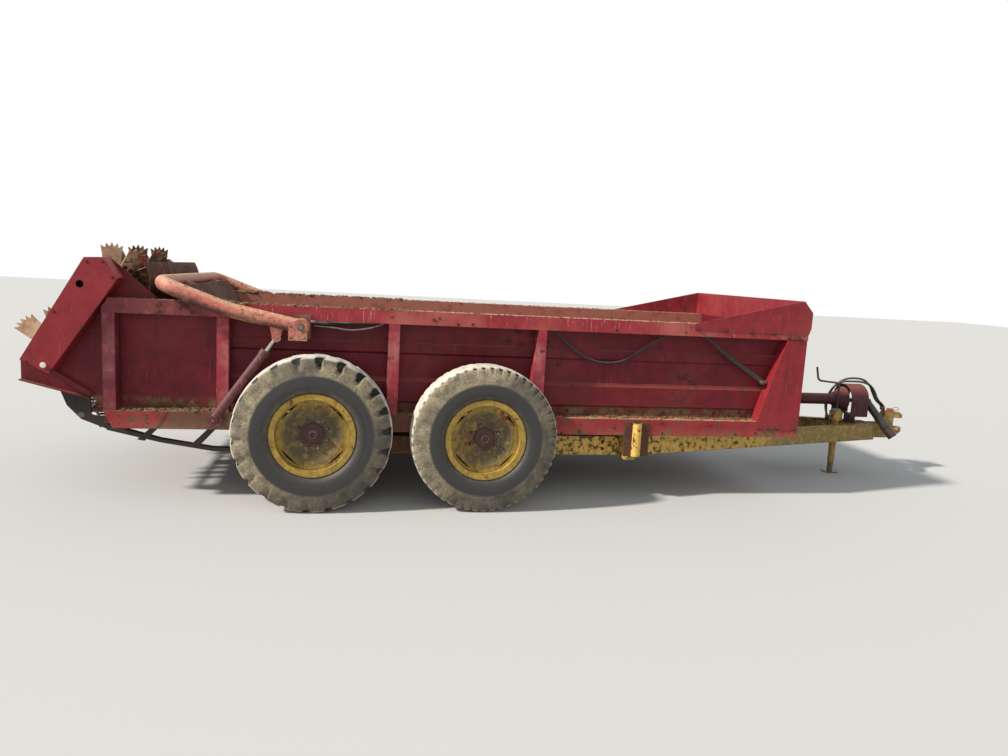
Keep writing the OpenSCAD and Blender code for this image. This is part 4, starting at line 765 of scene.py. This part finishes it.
# lift gate: one bent tube over the box, pivot bosses, cylinder ears, end plates and panel brackets
gate = {
    "pivot": (-1290, 1256), "knee": (-1770, 1352), "end": (-2205, 1512), "armY": 1032, "radius": 0.051,
    "kneeBend": 0.9, "cornerBend": 0.13, "eye": (-1453, 1177), "earTop": ((-1395, 1290), (-1510, 1310)),
    "plateY": (45, 53), "panelTop": (-2075, 1500), "bracketY": 0.5, "bracketHalf": 0.006,
    "boss": [
        (0.0205, -0.047), (0.055, -0.047), (0.057, -0.045), (0.057, 0.045), (0.055, 0.047), (0.0205, 0.047),
        (0.0205, -0.047),
    ],
}


def buildGate(s):
    # p = path + r*(cos a * s + sin a * t) along straight runs and arcs, the same on both sides
    (px, pz), (kx, kz), (ex, ez), y = s["pivot"], s["knee"], s["end"], s["armY"]
    corners = at([(px, -y, pz), (kx, -y, kz), (ex, -y, ez), (ex, y, ez), (kx, y, kz), (px, y, pz)])
    path = bentPath(corners, [s["kneeBend"], s["cornerBend"], s["cornerBend"], s["kneeBend"]], 17)
    parts = [tube(path, s["radius"], 40, (0.5, 0.31, -0.8))]
    eyeX, eyeZ = s["eye"]
    front, rear = s["earTop"]
    ear = [
        front, (eyeX + 28, eyeZ), (eyeX + 14, eyeZ - 26), (eyeX - 14, eyeZ - 26), (eyeX - 28, eyeZ), rear,
    ]
    endPlate = [(px - 82, pz - 93), (px + 44, pz - 93), (px + 44, pz + 24), (px - 82, pz + 24)]
    for sign in (-1, 1):
        parts.append(lathe(s["boss"], at((px, sign * y, pz))[0], (0, 1, 0), 40))
        for inner in (-0.026, 0.018):
            parts.append(plate(ear, sign * y / 1000 + inner, sign * y / 1000 + inner + 0.008))
        parts.append(plate(endPlate, *sorted(sign * (y + v) / 1000 for v in s["plateY"])))
    panelX, panelZ = s["panelTop"]
    bracket = [(ex, panelZ + 32), (panelX - 0.3, panelZ), (panelX + 84.7, panelZ - 122.5), (ex, panelZ - 18)]
    for middle in (-s["bracketY"], s["bracketY"]):
        parts.append(plate(bracket, middle - s["bracketHalf"], middle + s["bracketHalf"]))
    obj = newPiece("gate_tube", joined(parts), "gateEnamel", "lift_gate", 40)
    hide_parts("gate_frame")
    face = y + s["plateY"][1]
    heads = at([(px, sign * (face + proud), pz) for sign in (-1, 1)])
    bolts = copies(washerAndBolt(0.018, 0.009), heads, [(0, -1, 0), (0, 1, 0)])
    spots = [(px - 64, pz + 4), (px - 64, pz - 72), (px + 26, pz - 72)]
    small = at([(x, sign * face, z) for sign in (-1, 1) for x, z in spots])
    more = copies(boltShape(0.009, 0.006), small, [(0, -1, 0)] * 3 + [(0, 1, 0)] * 3)
    newPiece("gate_bolts", joined([bolts, more]), "wornSteel", "lift_gate")


buildGate(gate)
print("gate built")

# apron: oval chain links alternately flat and upright round both shafts, with angle-iron slats
apronSettings = {
    "frontX": 2455, "rearX": -2760, "loopRadius": 0.052, "chainY": 0.520, "linkPitch": 0.050,
    "linkHalf": 0.034, "linkWide": 0.015, "wire": 0.0055, "slats": [-2660 + i * 410 for i in range(13)],
    "slatRise": 0.018, "slatHalf": {1: 0.805, -1: 0.785},
    "slatSection": [(0, -0.010), (0.012, -0.010), (0.012, 0.024), (0.006, 0.026), (0, 0.024)],
}


def buildApron(s, middleZ):
    # link ring: q(t, f) = (a cos t, b sin t) thickened by the wire, carried to stations along the loop
    x0, x1 = float(at((s["rearX"], 0, 0))[0, 0]), float(at((s["frontX"], 0, 0))[0, 0])
    r, run = s["loopRadius"], x1 - x0
    total = 2 * run + 2 * math.pi * r
    count = int(total / s["linkPitch"]) // 2 * 2
    d = np.arange(count) * total / count
    turn1 = np.clip((d - run) / r, 0, math.pi)
    turn2 = np.clip((d - 2 * run - math.pi * r) / r, 0, math.pi)
    x = np.where(d < run + math.pi * r, x1 + r * np.sin(turn1), np.maximum(x1 - (d - run - math.pi * r), x0))
    x = np.where(d < run, x0 + d, x)
    z = np.where(d < run, r, np.where(d < 2 * run + math.pi * r, r * np.cos(turn1), -r))
    last = d > 2 * run + math.pi * r
    x = np.where(last, x0 - r * np.sin(turn2), x)
    z = np.where(last, -r * np.cos(turn2), z)
    angle = -turn1 - turn2
    ahead = np.stack([np.cos(angle), 0 * angle, np.sin(angle)], -1)
    out = np.stack([-np.sin(angle), 0 * angle, np.cos(angle)], -1)
    flat = (np.arange(count) % 2 == 0)[:, None]
    side = np.where(flat, (0.0, 1.0, 0.0), out)
    third = np.where(flat, out, (0.0, 1.0, 0.0))
    t = np.linspace(0, 2 * np.pi, 14, endpoint=False)
    f = np.linspace(0, 2 * np.pi, 6, endpoint=False)
    t, f = [g.ravel() for g in np.meshgrid(t, f, indexing="ij")]
    a = (s["linkHalf"] + s["wire"] * np.cos(f)) * np.cos(t)
    b = (s["linkWide"] + s["wire"] * np.cos(f)) * np.sin(t)
    c = s["wire"] * np.sin(f)
    rings = a[:, None] * ahead[:, None] + b[:, None] * side[:, None] + c[:, None] * third[:, None]
    faces = gridFaces(14, 6, True, True)
    shift = (np.arange(count) * len(t))[:, None, None]
    shapes = []
    for y in (-s["chainY"], s["chainY"]):
        middle = np.stack([x, 0 * x + y, z + middleZ], -1)
        shapes.append(((middle[:, None] + rings).reshape(-1, 3), (faces[None] + shift).reshape(-1, 4)))
    chain = joined(shapes)
    # slats: an angle iron's L section drawn across the box
    section = np.array(s["slatSection"])
    middle = section.mean(axis=0)
    ring = middle + (section - middle)[None] * np.array([0, 1, 1, 0])[:, None, None]
    slats = []
    for flip, half in s["slatHalf"].items():
        ends = np.array([-half, -half, half, half])[:, None]
        z = middleZ + flip * (r + s["slatRise"])
        for slatX in at([(v, 0, 0) for v in s["slats"]])[:, 0]:
            verts = np.stack([slatX + ring[..., 0], ends + 0 * ring[..., 0], z + flip * ring[..., 1]], -1)
            slats.append((verts.reshape(-1, 3), gridFaces(4, 5, False, True)))
    shape = joined([chain] + slats)
    obj = newPiece("apron_chain_and_slats", shape, "rustedSteel", "spreader", 40)
    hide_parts("apron")


buildApron(apronSettings, float(boxCenter("apron_shafts").z))
print("apron built")

# hoses: the two modelled routes, a return beside each, crimped ferrules at their ends
hoseSettings = {
    "radius": 0.010, "crimpAt": (0.0, 0.004, 0.006, 0.030, 0.032, 0.044),
    "crimpRadii": (0.012, 0.0135, 0.0145, 0.0145, 0.012, 0.0108),
    "side": [
        (-1229.6, -974, 1290), (-1190, -974, 1285), (-1130, -960, 1278), (-1070, -925, 1275),
        (-1000, -904, 1275), (-900, -900, 1278), (-780, -903, 1290), (-710, -910, 1317),
        (-640, -930, 1318), (-400, -935, 1313), (-100, -935, 1313), (200, -935, 1313),
        (430, -930, 1315), (500, -908, 1305), (560, -900, 1270), (640, -892, 1205), (740, -888, 1130),
        (850, -887, 1078), (980, -887, 1058), (1110, -888, 1082), (1220, -890, 1150),
        (1320, -894, 1215), (1400, -900, 1270), (1470, -910, 1308), (1560, -930, 1315),
        (1660, -930, 1315), (1740, -908, 1300), (1830, -897, 1245), (1950, -892, 1165),
        (2080, -890, 1085), (2210, -893, 1005), (2300, -900, 950), (2326, -903, 936),
    ],
    "front": [
        (3574, 60, 472.5), (3576, 64, 500), (3582, 110, 540), (3596, 152, 600), (3622, 168, 690),
        (3664, 150, 780), (3716, 95, 838), (3786, 40, 852), (3866, 12, 851), (3950, 8, 822),
        (4012, 18, 765), (4046, 26, 712), (4084, 32, 668), (4126, 37, 638), (4148, 39, 612),
        (4151, 39, 577.6),
    ],
    "second": [
        (1700, -925, 1310), (1770, -912, 1286), (1850, -905, 1225), (1960, -903, 1140),
        (2080, -903, 1065), (2200, -906, 990), (2290, -912, 935),
    ],
    "frontSecond": [
        (3582, 92, 474), (3592, 118, 520), (3612, 160, 610), (3640, 176, 700), (3690, 158, 800),
        (3750, 110, 862), (3820, 66, 880), (3900, 44, 868), (3970, 38, 815), (4018, 44, 740),
        (4060, 52, 680), (4112, 58, 640), (4140, 60, 612), (4146, 60, 580),
    ],
}


def buildHoses(s):
    # a hose is p = path + r*(cos a * s + sin a * t) along a curve through its points
    shapes, crimps = [], []
    for key in ("side", "front", "second", "frontSecond"):
        path = curved(at(s[key]), len(s[key]) * 8)
        shapes.append(tube(path, s["radius"], 12))
        for tip, near in ((path[0], path[7]), (path[-1], path[-8])):
            ahead = unit(near - tip)
            crimp = tip + ahead * np.array(s["crimpAt"])[:, None]
            crimps.append(tube(crimp, np.array(s["crimpRadii"]), 12))
    obj = newPiece("hydraulic_hoses", joined(shapes), "hoseRubber", "spreader", 50)
    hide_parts("hoses")
    newPiece("hose_ferrules", joined(crimps), "wornSteel", "spreader", 40)


buildHoses(hoseSettings)
steelPipes = {
    "radius": 0.0075, "points": 40,
    "routes": [
        [(-1218, -955, 1291), (-1100, -955, 1291), (-950, -955, 1293), (-640, -950, 1305)],
        [(-1214, -955, 1262), (-1075, -955, 1252), (-945, -955, 1240), (-810, -955, 1262), (-730, -950, 1292)],
    ],
}
routes = [curved(at(route), steelPipes["points"]) for route in steelPipes["routes"]]
pipes = joined([tube(route, steelPipes["radius"], 10) for route in routes])
newPiece("steel_pipes", pipes, "wornSteel", "spreader", 50)

# bolts: rows by station, in millimetres from the front axle; every row is (x, z) on one outer face
boltRows = {
    "sill": {
        "face": sillFace, "radius": 0.0065, "height": 0.005, "look": "rustedFastener",
        "spots": [
            (-2480, 600), (-2480, 545), (-2300, 605), (-2300, 550), (631, 520), (1046, 568), (1437, 609),
            (1444, 532), (1840, 600), (2060, 530), (2234, 542),
        ],
    },
    "sillBright": {
        "face": sillFace, "radius": 0.008, "height": 0.006, "look": "wornSteel",
        "spots": [(632, 603), (766, 602), (771, 532)],
    },
    "rail": {
        "face": sillFace, "radius": 0.007, "height": 0.006, "look": "rustedFastener",
        "spots": [(-1750, 1345), (-89, 1317), (1010, 1320)],
    },
    "extension": {
        "face": plateFace, "radius": 0.010, "height": 0.014, "look": "rustedFastener",
        "spots": [
            (1666, 1356), (1895, 1351), (2113, 1347), (2311, 1343), (2447, 1313), (2500, 1308), (2550, 1303),
        ],
    },
    "gusset": {
        "face": plateFace, "radius": 0.009, "height": 0.012, "look": "rustedFastener",
        "spots": [(2275, 582), (2340, 586), (2413, 587), (2560, 582)],
    },
    "wallFoot": {
        "face": wallFace, "radius": 0.009, "height": 0.012, "look": "rustedFastener",
        "spots": [(700, 676), (1096, 676), (1643, 679), (1927, 682), (2150, 684)],
    },
    "rearSide": {
        "face": wallFace, "radius": 0.008, "height": 0.006, "look": "rustedFastener",
        "spots": [(-2620, 760), (-2800, 790)],
    },
    "beam": {
        "face": beamFace, "radius": 0.009, "height": 0.008, "look": "rustedFastener",
        "spots": [
            (-1540, 420), (-900, 420), (420, 425), (420, 365), (640, 425), (640, 365), (1020, 425),
            (1020, 365),
        ],
    },
}


def buildBolts(rows):
    # one head at each (x, -face, z), and all again on the other side
    for key, s in rows.items():
        spots = np.array(s["spots"], float)
        places = at(np.stack([spots[:, 0], 0 * spots[:, 0] - s["face"] - proud, spots[:, 1]], -1))
        right = copies(washerAndBolt(s["radius"], s["height"]), places, (0, -1, 0))
        newPiece(f"bolts_{key}", bothSides(right), s["look"], "spreader")


buildBolts(boltRows)

# half-pipe stop bolted over the right sill, its round back outward, between two rusted flanges
stop = {"x": 1232, "foot": 347, "head": 612, "radius": 38, "wall": 6, "face": sillFace, "flange": 62}


def buildStop(s):
    # p(t) = (x + r sin t, face + r cos t) for t from -90 to 90 degrees, one radius for each face of the wall
    t = np.linspace(-math.pi / 2, math.pi / 2, 17)
    r, thin, foot, head = s["radius"], s["radius"] - s["wall"], s["foot"], s["head"]
    outer = np.stack([r * np.sin(t), r * np.cos(t)], -1)
    inner = np.stack([thin * np.sin(t), thin * np.cos(t)], -1)[::-1]
    ring = np.concatenate([outer, inner])
    # the first and last rows are the ring pressed flat, which closes the ends
    pressed = np.stack([ring[:, 0], np.full(len(ring), ring[:, 1].mean())], -1)
    strip = np.array([pressed, ring, ring, pressed])
    heights = np.array([foot, foot, head, head], float)[:, None] + 0 * strip[..., 0]
    verts = at(np.stack([s["x"] + strip[..., 0], -s["face"] - strip[..., 1], heights], -1).reshape(-1, 3))
    faces = gridFaces(4, len(ring), False, True)
    newPiece("stop_pipe", (verts, faces), "yellowEnamel", "spreader", 50)
    flanges = []
    for side in (-1, 1):
        x0, x1 = sorted((s["x"] + side * (thin - 2), s["x"] + side * (r + s["flange"])))
        outline = [(x0, foot), (x1, foot), (x1, head), (x0, head)]
        flanges.append(plate(outline, -s["face"] / 1000 - 0.009, -s["face"] / 1000 - 0.001))
    newPiece("stop_flanges", joined(flanges), "rustedSteel", "spreader")


buildStop(stop)

# bolts at the foot of each paddle and round each beater's bearings
beaterSettings = {
    "upper": {"x": -2600, "z": 1490, "count": 11, "first": -650, "angle": 90, "body": "upper_beater"},
    "lower": {"x": -2935, "z": 1010, "count": 12, "first": -715, "angle": 139, "body": "lower_beater"},
}
paddleBolts = {
    "pitch": 32, "turn": -36, "step": 130, "reach": 0.112, "apart": 0.022, "half": 0.005, "radius": 0.010,
    "height": 0.008,
}
bearingBolts = {"circle": 0.060, "y": -854.2, "radius": 0.009, "height": 0.008}


def buildBeaterBolts(s, bolt):
    # p = root + reach*radial + apart*wide + half*face, these three being the paddle's own directions
    pitch = math.radians(bolt["pitch"])
    index = np.repeat(np.arange(s["count"]), 2)
    angle = np.radians(s["angle"] + bolt["turn"] * index + np.tile([0, 180], s["count"]))
    radial = np.stack([np.cos(angle), 0 * angle, np.sin(angle)], -1)
    across = np.stack([np.sin(angle), 0 * angle, -np.cos(angle)], -1)
    wide = across * math.cos(pitch) + np.array([0, math.sin(pitch), 0])
    face = -across * math.sin(pitch) + np.array([0, math.cos(pitch), 0])
    station = np.stack([0 * index, (s["first"] + bolt["step"] * index) / 1000, 0 * index], -1)
    foot = at((s["x"], 0, s["z"])) + station + radial * bolt["reach"]
    pair = np.concatenate([foot + wide * k for k in (-bolt["apart"], bolt["apart"])])
    out = np.concatenate([face, face])
    head = washerAndBolt(bolt["radius"], bolt["height"])
    shape = joined([copies(head, pair + side * out * bolt["half"], side * out) for side in (1, -1)])
    newPiece(f"paddle_bolts_{s['body']}", shape, "rustedSteel", s["body"])


def buildBearingBolts(rows, bolt):
    # four heads at shaft + (R cos a, y, R sin a)
    turn = np.arange(4) * math.pi / 2 + math.pi / 4
    ring = np.stack([np.cos(turn), 0 * turn, np.sin(turn)], -1) * bolt["circle"]
    places = np.concatenate([at((s["x"], bolt["y"], s["z"])) + ring for s in rows])
    right = copies(washerAndBolt(bolt["radius"], bolt["height"]), places, (0, -1, 0))
    newPiece("bearing_bolts", bothSides(right), "wornSteel", "spreader")


for beater in beaterSettings.values():
    buildBeaterBolts(beater, paddleBolts)
buildBearingBolts(beaterSettings.values(), bearingBolts)
print("bolts built")

# weld beads where posts, brackets and plates meet the sections
weldRows = [
    {"y": 955, "z": 1296, "spans": [(-2580, -2500), (-1855, -1775), (-690, -610), (409, 471)]},
    {"y": 955, "z": 637, "spans": [(-2580, -2500), (-1855, -1775), (-690, -610), (363, 471)]},
    {"y": 957, "z": 637, "spans": [(2242, 2560)]},
    {"y": 800.5, "z": 463, "spans": [(-1600, -1510), (300, 390), (1150, 1240)]},
]
weldEnds = [((a, s["y"], s["z"]), (b, s["y"], s["z"])) for s in weldRows for a, b in s["spans"]]
weldEnds += [((x, 963.5, 1170), (x, 963.5, 1296)) for x in (-1350, -1230)]


def buildWelds(ends, bead=0.0035):
    # a bead from end to end, r = bead*(1 + 0.18 sin k s)
    shapes = []
    for pair in ends:
        a, b = at(pair)
        length = float(np.linalg.norm(b - a))
        t = np.linspace(0, 1, max(12, int(length / 0.004)))
        radius = bead * (1 + 0.18 * np.sin(t * length / 0.009 * 2 * math.pi))
        shapes.append(tube(a + (b - a) * t[:, None], radius, 8, (0.2, 0.9, 0.31)))
    newPiece("weld_beads", bothSides(joined(shapes)), "rustedSteel", "spreader", 60)


buildWelds(weldEnds)

# dried muck on ledges: squashed lumpy balls
muckRows = [
    {"count": 500, "x": (-2570, 2550), "y": (842, 958), "z": 1394, "size": (3, 12)},
    {"count": 260, "x": (-1950, -500), "y": (840, 955), "z": 1395, "size": (6, 24)},
    {"count": 160, "x": (-2050, -1750), "y": (840, 950), "z": 1396, "size": (10, 34)},
    {"count": 380, "x": (-2480, 2540), "y": (842, 955), "z": 636, "size": (4, 15)},
    {"count": 300, "x": (-2470, -1830), "y": (842, 950), "z": 637, "size": (8, 26)},
    {"count": 200, "x": (480, 2240), "y": (842, 900), "z": 637, "size": (8, 24)},
    {"count": 60, "x": (-1700, 1250), "y": (745, 795), "z": 465, "size": (4, 12)},
]


def buildMuck(rows, name, side):
    # p = place + size*(1 + 0.3 sin(3t + f) sin(2b + g)) * (cos t cos b, sin t cos b, 0.55 sin b)
    pick = np.random.default_rng(7 + side)
    # a coarse ball, seven points round and five from pole to pole
    t = np.linspace(0, 2 * np.pi, 7, endpoint=False)
    b = np.linspace(-np.pi / 2, np.pi / 2, 5)
    t, b = [g.ravel() for g in np.meshgrid(t, b, indexing="ij")]
    faces = gridFaces(7, 5, True, False)
    shapes = []
    for s in rows:
        n = s["count"]
        place = np.stack([pick.uniform(*s["x"], n), side * pick.uniform(*s["y"], n), np.full(n, s["z"])], -1)
        size = (s["size"][0] + (s["size"][1] - s["size"][0]) * pick.random(n) ** 2.5) / 1000
        f, g = pick.uniform(0, 6.28, (2, n, 1))
        swell = size[:, None] * (1 + 0.3 * np.sin(3 * t + f) * np.sin(2 * b + g))
        ball = np.stack([np.cos(t) * np.cos(b), np.sin(t) * np.cos(b), 0.55 * np.sin(b)], -1)
        verts = at(place)[:, None] + swell[..., None] * ball[None]
        shift = (np.arange(n) * len(t))[:, None, None]
        shapes.append((verts.reshape(-1, 3), (faces[None] + shift).reshape(-1, 4)))
    newPiece(f"dried_muck_{name}", joined(shapes), "driedMuck", "spreader", 60)


buildMuck(muckRows, "right", -1)
buildMuck(muckRows, "left", 1)
print("welds and muck built")

# hitch end: universal joint cross, shaft collars, gear head, clevis bolts, latch and the pin's loop
hitch = {
    "joint": (3930, 0, 660), "shaftEnd": (4100, -200, 360), "jack": (3530, -118, 590), "trunnion": 0.041,
    "collars": [
        (0.10, [(0.036, 0.0), (0.043, 0.002), (0.043, 0.030), (0.038, 0.034), (0.036, 0.0)]),
        (0.22, [(0.036, 0.0), (0.040, 0.002), (0.040, 0.012), (0.036, 0.014), (0.036, 0.0)]),
    ],
    "gearHead": [(0, 0.0), (0.040, 0.0), (0.040, 0.012), (0.034, 0.020), (0, 0.020)],
    "clevisBolts": [(3560, -45, 440), (3760, -45, 440), (3960, -45, 420), (3700, -45, 350)],
    "latch": [(4128, 579), (4206, 579), (4200, 606), (4140, 612)], "latchY": (-0.030, -0.018),
    "loop": (4236, -24, 603), "loopRadii": (30, 16), "loopWire": 0.0025,
}


def buildHitch(s):
    # the pin's loop is (x + wide cos t, y, z + high sin t); the rest is turned or set in place
    joint, end = at([s["joint"], s["shaftEnd"]])
    back = unit(joint - end)
    across = unit(np.array([-back[1], back[0], 0]))
    down = np.cross(back, across)
    reach = np.array([-s["trunnion"], s["trunnion"]])[:, None]
    arms = ((across, (0, 0, 1)), (down, (1, 0.2, 0)))
    cross = [tube(joint + arm * reach, 0.012, 16, lean) for arm, lean in arms]
    newPiece("joint_cross", joined(cross), "wornSteel", "pto_half_shaft", 40)
    collars = [lathe(profile, end + back * along, back, 32) for along, profile in s["collars"]]
    newPiece("shaft_collars", joined(collars), "blackEnamel", "pto_half_shaft", 40)
    cap = lathe(s["gearHead"], at(s["jack"])[0], (0, 0, 1), 32)
    newPiece("gear_head_cap", cap, "greyCasting", "spreader")
    jackX, jackY = s["jack"][:2]
    spots = at([(jackX + dx, jackY - 38, z) for dx in (-32, 32) for z in (515, 575)])
    bolts = copies(boltShape(0.007, 0.006), spots, (0, -1, 0))
    newPiece("gear_head_bolts", bolts, "wornSteel", "spreader")
    cheek = copies(washerAndBolt(0.012, 0.010), at(s["clevisBolts"]), (0, -1, 0))
    newPiece("clevis_bolts", cheek, "wornSteel", "spreader")
    newPiece("hitch_latch", plate(s["latch"], *s["latchY"]), "orangeEnamel", "spreader")
    t = np.linspace(0, 2 * np.pi, 40)
    (x, y, z), (wide, high) = s["loop"], s["loopRadii"]
    loop = at(np.stack([x + wide * np.cos(t), 0 * t + y, z + high * np.sin(t)], -1))
    newPiece("pin_loop", tube(loop, s["loopWire"], 8, (0, 1, 0)), "wornSteel", "spreader")


buildHitch(hitch)

# reflector and bolts on the chain cover
cover = {
    "reflector": (-2930, -coverFace, 935), "tint": "#D6CCC2", "rough": 0.12,
    "lens": [(0, 0), (0.019, 0), (0.019, 0.006), (0.016, 0.009), (0, 0.010)],
    "bolts": [
        (-3035, 955), (-2895, 905), (-2500, 1530), (-2560, 1630), (-2655, 1625), (-2860, 1290), (-2690, 1200),
    ],
}
mats["reflectorGlass"], tree, glass = newMaterial("reflectorGlass")
glass.inputs["Base Color"].default_value = linearColor(cover["tint"])
glass.inputs["Roughness"].default_value = cover["rough"]
lens = lathe(cover["lens"], at(cover["reflector"])[0], (0, -1, 0), 32)
newPiece("reflector", lens, "reflectorGlass", "spreader")
spots = at([(x, -coverFace, z) for x, z in cover["bolts"]])
coverBolts = copies(washerAndBolt(0.007, 0.006), spots, (0, -1, 0))
newPiece("cover_bolts", coverBolts, "rustedFastener", "spreader")
print("hitch and trim built")

# stage: floor, white backdrop to the camera, sky-toned world, low sun from the rear and a soft fill
floorMesh = bpy.data.meshes.new("studioFloor")
corners = [(x, y, -0.001) for x, y in ((-40, -40), (40, -40), (40, 40), (-40, 40))]
floorMesh.from_pydata(corners, [], [(0, 1, 2, 3)])
studioFloor = bpy.data.objects.new("studioFloor", floorMesh)
bpy.context.scene.collection.objects.link(studioFloor)
floorMat, tree, floorShader = newMaterial("studioFloorPaint")
floorShader.inputs["Base Color"].default_value = (0.46, 0.455, 0.44, 1)
floorShader.inputs["Roughness"].default_value = 0.95
floorMesh.materials.append(floorMat)

world = bpy.data.worlds.new("studioWorld")
bpy.context.scene.world = world
world.use_nodes = True
tree = world.node_tree
background = tree.nodes["Background"]
background.inputs[0].default_value = (0.88, 0.94, 1.0, 1)
background.inputs[1].default_value = 0.62
white = addNode(tree, "Background", {0: (1, 1, 1, 1), 1: 1.0})
seen = addNode(tree, "LightPath", out="Is Camera Ray")
mirrored = addNode(tree, "LightPath", out="Is Glossy Ray")
through = addNode(tree, "LightPath", out="Is Transmission Ray")
seen = addNode(tree, "Math", (seen, mirrored), **larger)
seen = addNode(tree, "Math", (seen, through), **larger)
blend = addNode(tree, "MixShader", (seen, background.outputs[0], white))
tree.links.new(blend, tree.nodes["World Output"].inputs[0])


def addLight(name, kind, place, target, energy, size, color):
    # stands at place with its -Z turned to the target
    light = bpy.data.lights.new(name, kind)
    light.energy = energy
    light.color = color
    setattr(light, "size" if kind == "AREA" else "angle", size)
    obj = bpy.data.objects.new(name, light)
    obj.location = place
    obj.rotation_euler = (Vector(target) - Vector(place)).to_track_quat("-Z", "Y").to_euler()
    bpy.context.scene.collection.objects.link(obj)


addLight("keyLight", "SUN", (-8.75, -2.1, 7.0), (0, 0, 0), 5.2, math.radians(4), (1.0, 0.96, 0.89))
addLight("fillLight", "AREA", (-3, -10, 3), (0, 0, 0.8), 90, 5, (1.0, 0.98, 0.96))
bpy.context.scene.view_settings.view_transform = "Standard"

print("scene ready")
